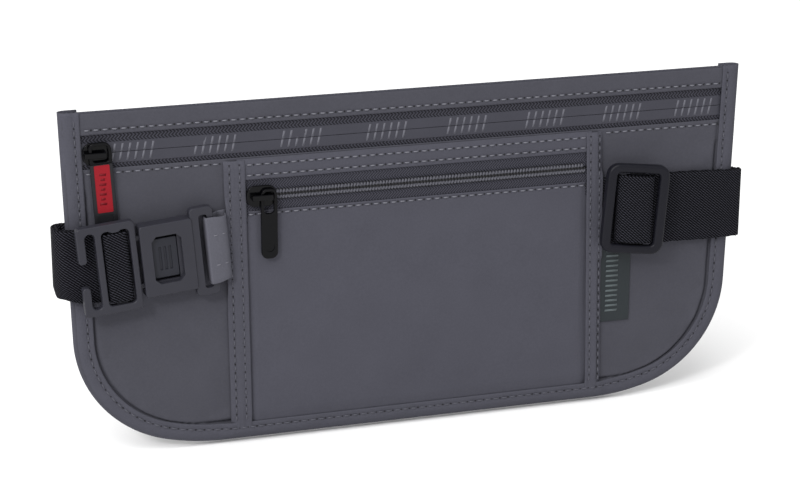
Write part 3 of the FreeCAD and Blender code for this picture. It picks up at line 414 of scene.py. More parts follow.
def stitches(name, path, material, body="root", place=None, pitch=STITCH_PITCH,
             length=2.9, width=0.62, rise=0.24,
             offset=0.5):
    """Thread along a path of (x, front, z): one bead for each stitch, its ends sunk in the cloth."""
    path = np.asarray(path, float)
    reach = np.concatenate([[0], np.cumsum(np.linalg.norm(np.diff(path, axis=0), axis=1))])
    count = max(1, int(reach[-1] / pitch))
    t = np.linspace(-1, 1, STITCH_RINGS)
    middle = (np.arange(count) + offset) * reach[-1] / count
    along = middle[:, None] + t * length / 2
    at = np.stack([np.interp(along, reach, path[:, k]) for k in range(3)], -1)
    ahead = np.stack([np.interp(along + 0.2, reach, path[:, k]) for k in range(3)], -1)
    behind = np.stack([np.interp(along - 0.2, reach, path[:, k]) for k in range(3)], -1)
    way = ahead - behind
    way /= np.linalg.norm(way, axis=-1, keepdims=True)
    out = np.array([0.0, 1.0, 0.0])
    side = np.cross(way, out)
    side /= np.linalg.norm(side, axis=-1, keepdims=True)
    radius = width / 2 * np.sqrt(1 - (0.92 * t) ** 4)
    lift = rise * (1 - np.abs(t) ** 3) - 0.16
    angle = np.arange(STITCH_SIDES) * 2 * math.pi / STITCH_SIDES
    ring = (
        at[:, :, None, :]
        + side[:, :, None, :] * (np.cos(angle)[:, None] * radius[:, None, None])
        + out * (np.sin(angle)[:, None] * radius[:, None, None] * 0.8 + lift[:, None, None])
    )
    points = ring.reshape(-1, 3)
    faces = []
    for n in range(count):
        start = n * STITCH_RINGS * STITCH_SIDES
        faces += grid_faces(STITCH_RINGS, STITCH_SIDES, start, close=True)
        faces.append(tuple(start + k for k in range(STITCH_SIDES - 1, -1, -1)))
        last = start + (STITCH_RINGS - 1) * STITCH_SIDES
        faces.append(tuple(last + k for k in range(STITCH_SIDES)))
    u = np.broadcast_to(along[:, :, None], ring.shape[:3])
    v = np.broadcast_to(angle / (2 * math.pi) * 2, ring.shape[:3])
    uv = np.stack([u, v], -1).reshape(-1, 2)
    return finish_mesh(name, points, faces, uv, material, body, place)


def seam_row(name, path, material=None, body="root", place=None, pitch=3.6, length=1.9):
    """A row of stitches with a near-black bead sunk between each two: painted shade in the dimple at each
    needle hole.
    """
    stitches(name, path, material or light_thread, body, place, pitch, length, 0.66, 0.3)
    stitches(f"{name}_holes", path, stitch_hole_shade, body, place, pitch, 0.7, 0.7, 0.12, offset=0.98)


# ---------------------------------------------------------------- pouch outline

pouch = span("edge_binding")
front_panel = span("front_panel")
top_band = span("top_band")
HALF_WIDTH = pouch["right"]
TOP_END = pouch["high"]
TOP = top_band["high"]
BOTTOM = pouch["low"]
FLAT_HALF = 80.0
FLANK_RADIUS = 92.0
FRONT_SEAM = 35.6
CORNER_RADIUS = 48.3
CORNER_TURN = math.radians(-74.5)


def outline(inset):
    """Right half of the pouch's outline drawn in by inset, from the top to the bottom's middle: (x, z)."""
    flank = np.array([FLAT_HALF, BOTTOM + FLANK_RADIUS])
    corner = flank + np.array([math.cos(CORNER_TURN), math.sin(CORNER_TURN)]) * (FLANK_RADIUS - CORNER_RADIUS)
    away = np.array([HALF_WIDTH, TOP]) - corner
    touch = math.atan2(away[1], away[0]) - math.acos(CORNER_RADIUS / np.linalg.norm(away))
    lean = np.array([math.cos(touch), math.sin(touch)])
    along = away - lean * CORNER_RADIUS
    along /= np.linalg.norm(along)
    low = corner + lean * (CORNER_RADIUS - inset)
    high = low + along * ((TOP_END - low[1]) / along[1])
    side = [high + (low - high) * t for t in np.linspace(0, 1, 70)]
    points = side
    for centre, radius, start, end, count in (
        (corner, CORNER_RADIUS - inset, touch, CORNER_TURN, 60),
        (flank, FLANK_RADIUS - inset, CORNER_TURN, -math.pi / 2, 30),
    ):
        angles = np.linspace(start, end, count)[1:]
        points = points + [centre + np.array([math.cos(a), math.sin(a)]) * radius for a in angles]
    flat = points[-1]
    points = points + [np.array([x, flat[1]]) for x in np.linspace(flat[0], 0, 60)[1:]]
    return np.array(points)


def whole_outline(inset):
    """From the top left end down round the bottom to the top right end."""
    right = outline(inset)
    left = right * (-1, 1)
    return np.concatenate([left[:-1], right[::-1]])


def half_width_at(z, inset):
    """Half the pouch's width at height z."""
    points = outline(inset)
    low = points[points[:, 0] >= FLAT_HALF - 0.01]
    order = np.argsort(low[:, 1])
    return np.interp(z, low[order, 1], low[order, 0])


def outline_rows(inset, top):
    """Heights at which a panel's grid follows the outline closely."""
    points = outline(inset)
    heights = points[(points[:, 0] >= FLAT_HALF - 0.01) & (points[:, 1] < top - 0.3), 1]
    return np.concatenate([np.unique(heights), [top - 0.35, top - 0.12, top]])


def outline_panel(name, inset, top, front_at, thickness, material, columns=260):
    z = outline_rows(inset, top)
    s = np.sin(np.linspace(-1, 1, columns) * math.pi / 2 * 0.92) / math.sin(math.pi / 2 * 0.92)
    zz = np.repeat(z[:, None], columns, 1)
    xx = s[None, :] * half_width_at(z, inset)[:, None]
    return sheet_piece(name, xx, zz, front_at(xx, zz), thickness, material)


# ---------------------------------------------------------------- cloth of the pouch

pocket = span("pocket_panel")
pocket_band = span("pocket_band")
left_tape = span("left_pocket_tape")
right_tape = span("right_pocket_tape")
label = span("side_label")
binding_width = 8.0
binding_seam = 5.7
strap = span("strap_outer_run")
STRAP_HALF = strap["high"]


def edge_distance(x, z):
    """Rough distance inwards from the binding's inner edge."""
    side = half_width_at(z, binding_width) - np.abs(x)
    base = z - (BOTTOM + binding_width)
    return np.minimum(side, base)


def front_panel_front(x, z):
    """Lies flat along seams and under the label and the pocket, and waves a little in between."""
    free = smooth((np.abs(x) - abs(left_tape["left"])) / 8)
    free *= smooth(edge_distance(x, z) / 10)
    free *= smooth((front_panel["high"] - 4 - z) / 8)
    free *= 1 - bell(x - label["left"] - 8, 14) * smooth((4 - z) / 4) * smooth((z - label["low"] + 6) / 6)
    waves = 0.45 * ripple(x, z, 46, 3) + 0.12 * ripple(x, z, 13, 5)
    below_top = smooth((front_panel["high"] - z) / 12)
    pucker = 0.16 * ripple(x, z, 8, 11) * bell(edge_distance(x, z) - 2, 6) * below_top
    seam = 0.14 * bell(z - FRONT_SEAM, 0.8)
    crease = 1.6 * bell(edge_distance(x, z) - 0.2, 0.9) * (0.4 + 0.6 * smooth((30 - z) / 4))
    crease = crease * smooth((front_panel["high"] - z) / 2)
    return front_panel["front"] + free * waves + pucker * smooth(edge_distance(x, z) / 2) - seam - crease


TOP_SEAM = 53.0

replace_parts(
    outline_panel("front_panel_cloth", 0.7, front_panel["high"], front_panel_front, 0.55, cloth),
    "front_panel",
)


def back_panel_front(x, z):
    return span("back_panel")["front"] - 0.05 + 0.04 * ripple(x, z, 30, 8)


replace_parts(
    outline_panel("back_panel_mesh", 0.7, TOP, back_panel_front, 0.95, back_mesh, columns=150),
    "back_panel",
)
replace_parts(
    outline_panel(
        "shielding_sheet", 1.7, TOP - 1,
        lambda x, z: span("rfid_lining")["front"] + 0.25 + 0.25 * ripple(x, z, 35, 21),
        0.15, foil, columns=120,
    ),
    "rfid_lining",
)


def rectangle(left, right, low, high, step=2.0, x_seams=(), z_seams=()):
    return np.meshgrid(lines(left, right, step, x_seams), lines(low, high, step, z_seams))


def make_top_band():
    x, z = rectangle(top_band["left"], top_band["right"], top_band["low"], TOP, 1.6, (), (TOP_SEAM,))
    front = top_band["front"] + 0.12 * ripple(x, z, 30, 4) * smooth((TOP - z) / 4)
    front = front - 0.14 * bell(z - TOP_SEAM, 0.7) + 0.05 * ripple(x, z, 6, 14) * bell(z - TOP_SEAM, 2.5)
    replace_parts(sheet_piece("top_band_cloth", x, z, front, 0.6, cloth), "top_band")


make_top_band()

# The binding's section: (inset, front), from the front leg's inner edge round the outside to the
# back leg's inner edge and back along the inside.
FRONT_LEG = pouch["front"]
BACK_LEG = pouch["back"]
BINDING_SECTION = (
    (8.0, FRONT_LEG - 0.25), (7.9, FRONT_LEG - 0.06), (7.5, FRONT_LEG), (6.6, FRONT_LEG - 0.05),
    (6.1, FRONT_LEG - 0.16), (5.7, FRONT_LEG - 0.24), (5.3, FRONT_LEG - 0.16), (4.8, FRONT_LEG - 0.03),
    (3.6, FRONT_LEG - 0.02), (2.4, FRONT_LEG - 0.2), (1.3, FRONT_LEG - 0.7), (0.5, FRONT_LEG - 1.4),
    (0.12, FRONT_LEG - 2.1), (0.0, FRONT_LEG - 2.75), (0.12, BACK_LEG + 2.0), (0.5, BACK_LEG + 1.3),
    (1.3, BACK_LEG + 0.6), (2.4, BACK_LEG + 0.2), (4.0, BACK_LEG), (5.7, BACK_LEG + 0.1), (7.5, BACK_LEG),
    (8.0, BACK_LEG + 0.2), (8.0, BACK_LEG + 0.45), (2.4, BACK_LEG + 0.65), (0.8, BACK_LEG + 2.0),
    (0.6, FRONT_LEG - 2.75), (0.8, FRONT_LEG - 2.0), (2.4, FRONT_LEG - 0.7), (7.9, FRONT_LEG - 0.5),
)
POCKET_LIFT = 1.05


def bottom_lift(x, z):
    """The binding's front leg rides over the pocket's lower edge."""
    across = smooth((x - left_tape["left"] + 4) / 5) * smooth((right_tape["right"] + 4 - x) / 5)
    return POCKET_LIFT * across * smooth((-60 - z) / 8)


def make_binding():
    spine = whole_outline(0)
    rings, uv = [], []
    reach = np.concatenate([[0], np.cumsum(np.linalg.norm(np.diff(spine, axis=0), axis=1))])
    insets = [inset for inset, _ in BINDING_SECTION]
    paths = {inset: whole_outline(inset) for inset in set(insets)}
    for k in range(len(spine)):
        ring = []
        for number, (inset, front) in enumerate(BINDING_SECTION):
            x, z = paths[inset][k]
            on_front_leg = number < 12 or number > 25
            lift = bottom_lift(x, z) * smooth(inset / 4) if on_front_leg else 0
            wave = 0.1 * math.sin(reach[k] / 2.1) * bell(inset - binding_seam, 2.2) if number < 12 else 0
            ring.append((x, front + lift + wave, z))
            uv.append((reach[k], inset if number < 14 else -inset))
        rings.append(ring)
    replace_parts(loft("edge_binding_tape", rings, uv, binding_cloth), "edge_binding")


def binding_path(inset, front):
    path = whole_outline(inset)[2:-2]
    return [(x, front + bottom_lift(x, z) * smooth(inset / 4), z) for x, z in path]


make_binding()
seam_row("binding_stitches", binding_path(binding_seam, FRONT_LEG - 0.12), binding_thread)
back_path = [(x, BACK_LEG - 0.02, z) for x, _, z in binding_path(binding_seam, 0)]
stitches("binding_back_stitches", back_path, dark_thread,
         rise=-0.1)
seam_half = half_width_at(np.array([TOP_SEAM]), binding_width)[0] - 0.8
top_ends = [(end, top_band["front"], TOP_SEAM) for end in (-seam_half, seam_half)]
seam_row("top_band_stitches", top_ends)
for side, start, end in (
    ("left", -seam_half, left_tape["left"] - 1), ("right", right_tape["right"] - 1.0, seam_half),
):
    seam_row(f"front_panel_stitches_{side}",
             [(start, front_panel["front"], FRONT_SEAM), (end, front_panel["front"], FRONT_SEAM)])

# ---------------------------------------------------------------- pocket

COVER_WIDTH = {"left": left_tape["right"] - left_tape["left"], "right": 7.2}
COVER_LEAN = right_tape["right"] - right_tape["left"] - COVER_WIDTH["right"]
BAND_SEAMS = (34.8, 30.5)
PANEL_TOP = pocket["high"] + 0.9
PANEL_SEAM = 14.5
POCKET_END = -77.0


def make_pocket_band():
    x, z = rectangle(
        left_tape["right"] - 3, right_tape["left"] + 3,
        pocket_band["low"], pocket_band["high"], 1.6, (), BAND_SEAMS
    )
    front = pocket_band["front"] - 1.2 * smooth((z - pocket_band["high"] + 2.2) / 2.2)
    front = front - sum(0.16 * bell(z - seam, 0.7) for seam in BAND_SEAMS)
    front = front + 0.08 * ripple(x, z, 9, 31)
    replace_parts(sheet_piece("pocket_band_cloth", x, z, front, 0.6, pocket_cloth), "pocket_band")
    for number, seam in enumerate(BAND_SEAMS):
        drop = 1.2 * smooth((seam - pocket_band["high"] + 2.2) / 2.2)
        seam_row(
            f"pocket_band_stitches_{number}",
            [(left_tape["right"], pocket_band["front"] - drop, seam),
             (right_tape["left"] + 0.4, pocket_band["front"] - drop, seam)],
        )


def pocket_front(x, z):
    """Slack in the middle, sewn down along its lower edge, hemmed along the zip."""
    down = smooth((z - POCKET_END) / 9)
    middle = bell(x + 4, 48) * bell(z + 34, 26)
    slack = 0.9 * middle + 0.32 * ripple(x, z, 52, 7) + 0.07 * ripple(x, z, 14, 9)
    calm = smooth((x - left_tape["right"]) / 10) * smooth((right_tape["left"] - x) / 10)
    calm = calm * smooth((z - POCKET_END) / 14) * smooth((PANEL_TOP - 1.5 - z) / 9)
    hem = 0.16 * bell(z - PANEL_SEAM, 0.7)
    base = pocket["front"] - 1.35 * (1 - down)
    fallen = (right_tape["high"] - z) / (right_tape["high"] - right_tape["low"])
    sides = np.minimum(np.abs(x - left_tape["right"] - 1.1 * fallen), np.abs(x - right_edge(z)))
    return base + slack * calm - hem - 1.4 * bell(sides - 0.2, 0.8)


def right_edge(z):
    """The inner edge of the right cover tape."""
    share = (right_tape["high"] - z) / (right_tape["high"] - right_tape["low"])
    return right_tape["left"] + COVER_LEAN * share


def make_pocket_panel():
    x, z = rectangle(
        left_tape["right"] - 4, right_tape["left"] + 4.5, POCKET_END, PANEL_TOP, 1.7, (), (PANEL_SEAM,)
    )
    panel = sheet_piece("pocket_panel_cloth", x, z, pocket_front(x, z), 0.55, pocket_cloth)
    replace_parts(panel, "pocket_panel")
    ends = (left_tape["right"] + 0.3, right_tape["left"] + 0.2)
    seam_row(
        "pocket_panel_stitches",
        [(ends[0], pocket["front"], PANEL_SEAM), (ends[1], pocket["front"], PANEL_SEAM)],
    )


make_pocket_band()
make_pocket_panel()

TAPE_SEAMS = {"left": (1.9, 6.0), "right": (1.7, 5.6)}


def make_cover_tape(side):
    """Tape over a side of the pocket: sewn down on the outside, folded under at the top."""
    box = left_tape if side == "left" else right_tape
    width = COVER_WIDTH[side]
    lean = 1.1 if side == "left" else COVER_LEAN
    s, z = np.meshgrid(
        lines(0, width, 0.9, TAPE_SEAMS[side]), lines(POCKET_END, box["high"], 1.4)
    )
    outwards = s if side == "left" else width - s
    start = box["left"] + lean * (box["high"] - z) / (box["high"] - box["low"])
    x = start + s + 0.12 * ripple(s * 0, z, 18, 6)
    over_strap = smooth((STRAP_HALF + 6 - np.abs(z - 1)) / 4)
    tuck = 1.5 * (1 - smooth(outwards / 2.6)) * (1 - over_strap)
    front = box["front"] - tuck - 1.1 * smooth((z - box["high"] + 1.8) / 1.8)
    front = front - 0.95 * (1 - smooth((z - POCKET_END) / 9))
    for seam in TAPE_SEAMS[side]:
        beat = 0.6 + 0.4 * np.cos(z * 2 * math.pi / STITCH_PITCH)
        front = front - 0.2 * bell(s - seam, 0.75) * beat
    front = front + 0.07 * ripple(s * 3, z, 7, 17)
    piece = sheet_piece(f"{side}_cover_tape", x, z, front, 0.5, binding_cloth)
    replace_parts(piece, f"{side}_pocket_tape")
    for number, seam in enumerate(TAPE_SEAMS[side]):
        path = []
        for height in np.linspace(POCKET_END + 4, box["high"] - 1.2, 60):
            offset = lean * (box["high"] - height) / (box["high"] - box["low"])
            down = 0.95 * (1 - float(smooth((height - POCKET_END) / 9)))
            path.append((box["left"] + offset + seam, box["front"] - down - 0.1, height))
        seam_row(f"{side}_cover_stitches_{number}", path, binding_thread)


make_cover_tape("left")
make_cover_tape("right")

# ---------------------------------------------------------------- label

BAR_LEAN = 0.22


def marks(name, bars, front, material, body="root", thickness=0.06):
    """Slanted bars: (left, width, low, high) each."""
    points, faces, uv = [], [], []
    for left, width, low, high in bars:
        shift = BAR_LEAN * (high - low)
        flat = ((left, low), (left + width, low), (left + width + shift, high), (left + shift, high))
        start = len(points)
        points += [(x, front, z) for x, z in flat] + [(x, front - thickness, z) for x, z in flat]
        uv += list(flat) * 2
        faces.append(tuple(start + k for k in range(4)))
        faces += [(start + k, start + 4 + k, start + 4 + (k + 1) % 4, start + (k + 1) % 4) for k in range(4)]
    return finish_mesh(name, points, faces, uv, material, body)


def make_label():
    x, z = rectangle(label["left"], label["right"], label["low"], label["high"], 1.4)
    front = label["front"] + 0.3 * bell(x - label["left"] - 9, 7) + 0.06 * ripple(x, z, 18, 41)
    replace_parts(sheet_piece("side_label_satin", x, z, front, 0.35, label_satin), "side_label")
    bars = []
    count, pitch, height = 15, 2.2, 0.85
    for k in range(count):
        low = label["low"] + 4.5 + k * pitch
        wide = 5.4
        bars.append((label["left"] + 8.2 - 0.5 * wide, wide, low, low + height))
    marks("label_bars", bars, label["front"] + 0.48, label_weave, thickness=0.25)


make_label()

# ---------------------------------------------------------------- zips

main_upper = span("main_zip_tape_upper")
main_lower = span("main_zip_tape_lower")
main_axis = (main_upper["low"] + main_lower["high"]) / 2
pocket_upper = span("pocket_zip_tape_upper")
pocket_lower = span("pocket_zip_tape_lower")
pocket_axis = (pocket_upper["low"] + pocket_lower["high"]) / 2
TAPE_THICKNESS = 0.4
FILM_HALF = 4.2
FILM_THICKNESS = 0.1
FILM_GAP = 0.08
film_front = main_upper["front"]


def make_tape(name, box, front, material, node):
    x, z = rectangle(box["left"], box["right"], box["low"], box["high"], 2.0)
    wave = 0.06 * ripple(x, z, 24, 12)
    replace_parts(sheet_piece(name, x, z, front + wave, TAPE_THICKNESS - 0.05, material), node)


def make_film(side, low, high):
    x, z = rectangle(main_upper["left"], main_upper["right"], low, high, 1.6)
    front = film_front + 0.03 + 0.06 * ripple(x, z, 24, 12) + 0.04 * ripple(x, z, 7, 19)
    sheet_piece(f"zip_film_{side}", x, z, front, FILM_THICKNESS, film)


make_tape("main_tape_upper", main_upper, film_front - FILM_THICKNESS, main_tape, "main_zip_tape_upper")
make_tape("main_tape_lower", main_lower, film_front - FILM_THICKNESS, main_tape, "main_zip_tape_lower")
make_film("upper", main_axis + FILM_GAP, main_axis + FILM_HALF)
make_film("lower", main_axis - FILM_HALF, main_axis - FILM_GAP)
make_tape("pocket_tape_upper", pocket_upper, pocket_upper["front"], pocket_tape, "pocket_zip_tape_upper")
make_tape("pocket_tape_lower", pocket_lower, pocket_lower["front"], pocket_tape, "pocket_zip_tape_lower")

MARK_STARTS = (-122.5, -90.0, -55.3, -20.0, 13.8, 47.5, 81.3, 113.3)
MARK_HALF = 3.4
MARK_COUNT, MARK_STEP, MARK_WIDTH = 6, 3.0, 0.85


def make_film_marks():
    bars = []
    for start in MARK_STARTS:
        for number in range(MARK_COUNT):
            left, width = start + number * MARK_STEP, MARK_WIDTH
            near = 0.12
            bars.append((left, width, main_axis - MARK_HALF, main_axis - near))
            lift = BAR_LEAN * (MARK_HALF + near)
            bars.append((left + lift, width, main_axis + near, main_axis + MARK_HALF))
    marks("film_marks", bars, film_front + 0.1, film_print, thickness=0.06)


make_film_marks()


def make_coil(name, node, axis, sign, pitch, phase):
    """One side of a coil zip: a flattened spiral of monofilament, its noses past the middle."""
    box = span(node)
    per_turn, sides, wire = 12, 6, 0.29
    turns = int((box["right"] - box["left"] - 2 * wire) / pitch)
    t = np.arange(turns * per_turn + 1) * 2 * math.pi / per_turn
    near, far = -0.35, 2.15
    middle, reach = (near + far) / 2, (far - near) / 2
    x = box["left"] + wire + pitch * (t / (2 * math.pi) + phase)
    z = axis + sign * (middle - reach * np.cos(t))
    depth = (box["front"] - box["back"]) / 2
    front = box["back"] + depth + (depth - wire) * np.sin(t) * sign
    line = np.stack([x, front, z], -1)
    way = np.gradient(line, axis=0)
    way /= np.linalg.norm(way, axis=1, keepdims=True)
    first = np.cross(way, (1.0, 0.0, 0.0))
    first /= np.linalg.norm(first, axis=1, keepdims=True)
    second = np.cross(way, first)
    angle = np.arange(sides) * 2 * math.pi / sides
    rings = (
        line[:, None, :]
        + first[:, None, :] * (wire * np.cos(angle))[None, :, None]
        + second[:, None, :] * (wire * np.sin(angle))[None, :, None]
    )
    away = middle - reach * np.cos(t)
    uv = np.repeat(np.stack([x, away], -1)[:, None, :], sides, 1).reshape(-1, 2)
    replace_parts(loft(name, rings, uv, coil_plastic), node)


COIL_PITCH = 1.33
for prefix, axis in (("main", main_axis), ("pocket", pocket_axis)):
    for side, sign, phase in (("upper", 1, 0.0), ("lower", -1, 0.5)):
        make_coil(f"{prefix}_coil_{side}_wire", f"{prefix}_zip_coil_{side}", axis, sign, COIL_PITCH, phase)

# ---------------------------------------------------------------- strap

WEBBING = 1.2
LAYER = 1.4


def rounded_path(corners, radius, step=1.0):
    """A path of (x, front) points with its corners rounded: points, unit normals and reach."""
    corners = [np.array(c, float) for c in corners]
    points = [corners[0]]
    for before, corner, after in zip(corners, corners[1:], corners[2:]):
        into = (corner - before) / np.linalg.norm(corner - before)
        out = (after - corner) / np.linalg.norm(after - corner)
        turn = math.acos(np.clip(into @ out, -1, 1))
        if turn < 1e-3:
            continue
        cut = radius * math.tan(turn / 2)
        inward = (out - into) / np.linalg.norm(out - into)
        centre = corner + inward * (radius / math.cos(turn / 2))
        start, end = corner - into * cut, corner + out * cut
        for t in np.linspace(0, 1, 9):
            spoke = (start - centre) * (1 - t) + (end - centre) * t
            points.append(centre + spoke / np.linalg.norm(spoke) * radius)
    points.append(corners[-1])
    points = np.array(points)
    reach = np.concatenate([[0], np.cumsum(np.linalg.norm(np.diff(points, axis=0), axis=1))])
    spread = np.unique(np.concatenate([reach, np.linspace(0, reach[-1], int(reach[-1] / step) + 2)]))
    spread = spread[np.concatenate([[True], np.diff(spread) > 0.05])]
    x, front = np.interp(spread, reach, points[:, 0]), np.interp(spread, reach, points[:, 1])
    way = np.stack([np.gradient(x, spread), np.gradient(front, spread)], -1)
    way /= np.linalg.norm(way, axis=1, keepdims=True)
    normal = np.stack([-way[:, 1], way[:, 0]], -1)
    return np.stack([x, front], -1), normal, spread


def band(name, corners, radius, half, thickness, material, body="root", place=None, shift=None, uneven=0.0,
         sign=1):
    """Webbing along a path: a flat band with rounded edges. shift, if given, moves its rings of points."""
    path, normal, reach = rounded_path(corners, radius)
    rows = 14
    across = np.linspace(-half + 0.35, half - 0.35, rows)
    section = (
        [(z, 0.5) for z in across] + [(half - 0.1, 0.32), (half, 0.0), (half - 0.1, -0.32)]
        + [(z, -0.5) for z in across[::-1]] + [(-half + 0.1, -0.32), (-half, 0.0), (-half + 0.1, 0.32)]
    )
    rings, uv = [], []
    for point, out, along in zip(path, normal, reach):
        ring = []
        for z, depth in section:
            edge = uneven * math.sin(along * 5.2 + (1 if z > 0 else 2)) * (abs(z) / half) ** 8
            x, front = point + out * depth * thickness
            z_now = z + edge
            ring.append((x, front, z_now))
            uv.append((along * sign, z))
        rings.append(ring)
    rings = np.array(rings)
    if shift is not None:
        rings = shift(rings)
    return loft(name, rings, uv, material, body, place)


def right_fall(rings):
    """In front the strap lies a little higher, and it is narrower and uneven towards its fold."""
    x, front, z = rings[..., 0], rings[..., 1], rings[..., 2]
    ahead = smooth((front - 4) / 3)
    narrow = 1 - 0.03 * smooth((x - 125) / 18)
    slack = 0.12 * np.sin(x / 9.0) * smooth((x - 112) / 10) * ahead
    raised = ahead * (1.9 - 0.7 * smooth((x - 110) / 35))
    drawn_in = 1.2 * smooth((x - 134) / 10)
    return np.stack([x - drawn_in, front + slack * smooth((140 - x) / 10), z * narrow + raised], -1)


def left_fall(rings):
    """The lower corner of the left fold is pulled up."""
    x, front, z = rings[..., 0], rings[..., 1], rings[..., 2]
    near = smooth((-x - 136) / 9)
    raised = 2.0 * near * smooth((-z - 6) / 9)
    return np.stack([x + 0.8 * near * smooth((-z - 10) / 5), front, z + raised], -1)


FOLD_RIGHT, FOLD_LEFT, FOLD_RADIUS = 145.2, 146.1, 2.2
FRONT_RIGHT, FRONT_LEFT = 10.5, 12.2
OUTER_BACK = WEBBING / 2
INNER_BACK = OUTER_BACK + LAYER
STRAP_PARTED = 142.5


def make_strap():
    outer = band(
        "strap_outer_webbing",
        ((78.2, 9.1), (86.0, 9.1), (91.0, FRONT_RIGHT), (FOLD_RIGHT, FRONT_RIGHT), (FOLD_RIGHT, OUTER_BACK),
         (-STRAP_PARTED, OUTER_BACK)),
        FOLD_RADIUS, STRAP_HALF, WEBBING, webbing, shift=right_fall, uneven=0.12,
    )
    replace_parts(outer, "strap_outer_run")
    inner = band(
        "strap_inner_webbing",
        ((100.0, FRONT_RIGHT - LAYER), (FOLD_RIGHT - LAYER, FRONT_RIGHT - LAYER),
         (FOLD_RIGHT - LAYER, INNER_BACK),
         (-STRAP_PARTED, INNER_BACK)),
        FOLD_RADIUS - 1, STRAP_HALF, WEBBING, webbing, shift=right_fall, uneven=0.12,
    )
    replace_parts(inner, "strap_inner_run")
    for name, node, corners, radius in (
        ("strap_left_outer_webbing", "strap_left_turn_outer",
         ((-127.0, FRONT_LEFT), (-FOLD_LEFT, FRONT_LEFT), (-FOLD_LEFT, OUTER_BACK),
          (-STRAP_PARTED + 0.4, OUTER_BACK)),
         4.6),
        ("strap_left_inner_webbing", "strap_left_turn_inner",
         ((-119.0, FRONT_LEFT - LAYER), (-FOLD_LEFT + LAYER, FRONT_LEFT - LAYER),
          (-FOLD_LEFT + LAYER, INNER_BACK),
          (-STRAP_PARTED + 0.4, INNER_BACK)),
         1.3),
    ):
        turn = band(name, corners, radius, STRAP_HALF, WEBBING, webbing, body=None,
                    shift=left_fall, uneven=0.12,
                    sign=-1)
        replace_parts(turn, node)
        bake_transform(turn)


make_strap()

# ---------------------------------------------------------------- buckle


def place_at(x, front, z, *turns):
    """A part's own frame in the belt's, from turns about the frame's axes."""
    turn = Matrix.Identity(3)
    for axis, degrees in turns:
        turn = turn @ Matrix.Rotation(math.radians(degrees), 3, Vector(axis))
    return Matrix.Translation(on_frame((x, front, z))) @ turn.to_4x4()


BUCKLE = place_at(-114.2, 10.7, 0.5, ((0, 0, 1), 2.4), ((0, -1, 0), 4.7))
GLIDE = place_at(93.6, 14.0, 4.4, ((0, 0, 1), -7.0), ((1, 0, 0), -2.5), ((0, -1, 0), -5.1))


def make_buckle_cloth():
    turn = np.radians(np.linspace(4, 84, 12))
    roll = [(28.3 + 8.0 * math.sin(a), 0.8 + 5.4 * math.cos(a) ** 0.5) for a in turn]

    def narrowed(rings):
        x, front, z = rings[..., 0], rings[..., 1], rings[..., 2]
        return np.stack([x, front, z * (1 - 0.06 * smooth((x - 29) / 7))], -1)

    tab = band(
        "buckle_tab_cloth",
        [(27.4, 1.4), (27.4, 6.2)] + roll + [(36.6, 0.6)], 0.5, 13.8, 0.7, tab_cloth, place=BUCKLE,
        shift=narrowed,
    )
    under = band(
        "buckle_tab_cloth_under",
        ((27.4, 1.6), (28.0, 1.2), (31.8, 1.4), (33.6, -0.6), (37.2, -0.6)),
        0.3, 13.8, 0.7, tab_cloth, place=BUCKLE,
    )
    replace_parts(tab, "buckle_tab")
    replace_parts(under, "buckle_tab")
    for number, v in enumerate((6.1, -6.1)):
        stitches(
            f"tab_stitches_{number}", [(u, w + 0.3, v) for u, w in roll[:-2]],
            light_thread, place=BUCKLE, pitch=2.6, length=1.9, width=0.5, rise=0.3,
        )
    bight = band(
        "buckle_bight_webbing",
        ((-13.0, 1.7), (-13.0, 5.25), (-4.2, 5.25), (-4.2, 1.7)),
        1.5, 14.1, WEBBING, webbing, body="plug", place=BUCKLE, uneven=0.1,
    )
    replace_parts(bight, "strap_buckle_bight")


BIGHT_LEAN = 0.05


def make_glide_webbing():
    loop = band(
        "adjuster_loop_webbing",
        ((5.4, 0.05), (-4.2, 0.05), (-4.2, 2.5), (5.4, 2.5)),
        0.8, 14.2, WEBBING, webbing, body="adjuster", place=GLIDE,
    )
    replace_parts(loop, "strap_adjuster_loop")
    def upright(rings):
        return rings - BIGHT_LEAN * rings[..., 2:] * np.array([1, 0, 0])

    over = band(
        "adjuster_bight_webbing",
        ((-7.7, 0.2), (-7.0, 2.2), (-5.2, 3.6), (-2.6, 4.1), (2.0, 4.2), (5.2, 4.0), (6.9, 3.1), (7.4, 0.2)),
        0.9, 14.2, WEBBING, webbing, body="adjuster", place=GLIDE, uneven=0.1, shift=upright,
    )
    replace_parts(over, "strap_adjuster_bight")


make_buckle_cloth()
make_glide_webbing()

# ---------------------------------------------------------------- puller print

inlay = span("main_pull_inlay")


def make_inlay_bars():
    """A row of short cross bars down the middle of the inlay."""
    middle = (inlay["left"] + inlay["right"]) / 2 - 0.3
    bars = []
    for k in range(7):
        low = inlay["low"] + 3.2 + k * 1.95
        wide = (2.6, 1.6)[k % 2]
        bars.append((middle - wide / 2, wide, low, low + 0.9))
    return marks("inlay_bars", bars, inlay["front"] + 0.05, red_print, body="main_puller", thickness=0.1)


# The rubber tab, the inlay and its bars each get a mesh of their own.
for soft in (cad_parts["main_pull_tab"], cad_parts["main_pull_inlay"], make_inlay_bars()):
    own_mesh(soft)

# ---------------------------------------------------------------- floor, light and camera


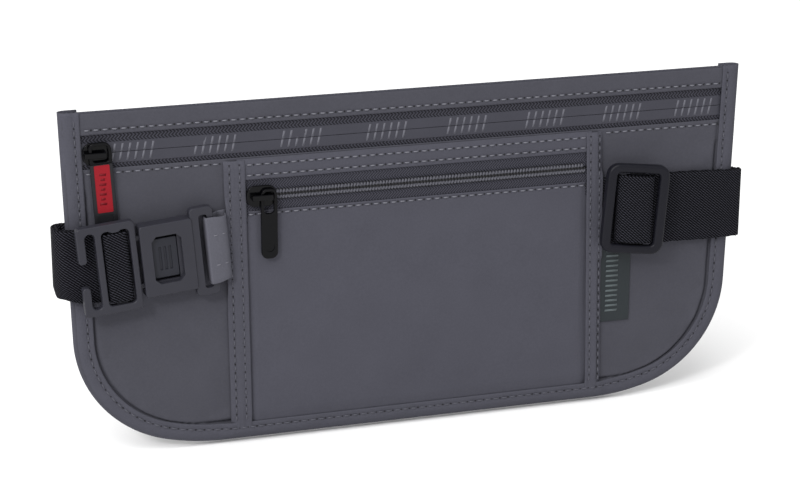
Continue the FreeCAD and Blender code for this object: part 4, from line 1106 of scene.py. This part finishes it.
def make_floor():
    size, height = 3.0, BOTTOM * MM - 0.001
    look = Look("floor", (0.92, 0.92, 0.92, 1.0), 0.9, Specular_IOR_Level=0.0)
    look.colour(look.noise(400), (0.90, 0.90, 0.90, 1), (0.94, 0.94, 0.94, 1))
    mesh = bpy.data.meshes.new("floor")
    corners = ((-size, -size), (size, -size), (size, size), (-size, size))
    mesh.from_pydata([(x, y, height) for x, y in corners], [], [(0, 1, 2, 3)])
    mesh.materials.append(look.material)
    floor = bpy.data.objects.new("floor", mesh)
    bpy.context.scene.collection.objects.link(floor)


def add_light(name, kind, place, power, size, aim=(0, 0, 0)):
    """size is the side of an area light in metres, or the angle that a sun covers."""
    data = bpy.data.lights.new(name, kind)
    data.energy = power
    if kind == "SUN":
        data.angle = size
    else:
        data.size = size
    lamp = bpy.data.objects.new(name, data)
    lamp.location = place
    lamp.rotation_mode = "QUATERNION"
    lamp.rotation_quaternion = (Vector(aim) - Vector(place)).to_track_quat("-Z", "Y")
    bpy.context.scene.collection.objects.link(lamp)


def make_world(strength):
    world = bpy.data.worlds.new("studio")
    world.use_nodes = True
    background = world.node_tree.nodes["Background"]
    background.inputs["Color"].default_value = (1.0, 1.0, 1.0, 1.0)
    background.inputs["Strength"].default_value = strength
    bpy.context.scene.world = world


make_floor()
make_world(0.74)
add_light("sky", "SUN", (-0.7, -0.75, 1.5), 2.0, math.radians(50))
add_light("key", "AREA", (-0.8, -0.9, 0.7), 6, 0.2)
bpy.context.scene.view_settings.view_transform = "Standard"

YAW, PITCH, ROLL = math.radians(-17.454), math.radians(17.957), math.radians(-0.166)
DISTANCE = 0.9171
TARGET = Vector((-0.005279, -0.006, -0.007307))
LENS, SENSOR = 101.4, 36.0


def make_camera():
    back = Vector((math.sin(YAW) * math.cos(PITCH), -math.cos(YAW) * math.cos(PITCH), math.sin(PITCH)))
    level = Vector((math.cos(YAW), math.sin(YAW), 0))
    upright = back.cross(level)
    right = level * math.cos(ROLL) - upright * math.sin(ROLL)
    up = level * math.sin(ROLL) + upright * math.cos(ROLL)
    data = bpy.data.cameras.new("camera")
    data.lens, data.sensor_width = LENS, SENSOR
    data.clip_start, data.clip_end = 0.05, 20
    camera = bpy.data.objects.new("camera", data)
    turn = Matrix((right, up, back)).transposed()
    camera.matrix_world = Matrix.Translation(TARGET + back * DISTANCE) @ turn.to_4x4()
    bpy.context.scene.collection.objects.link(camera)
    bpy.context.scene.camera = camera


make_camera()
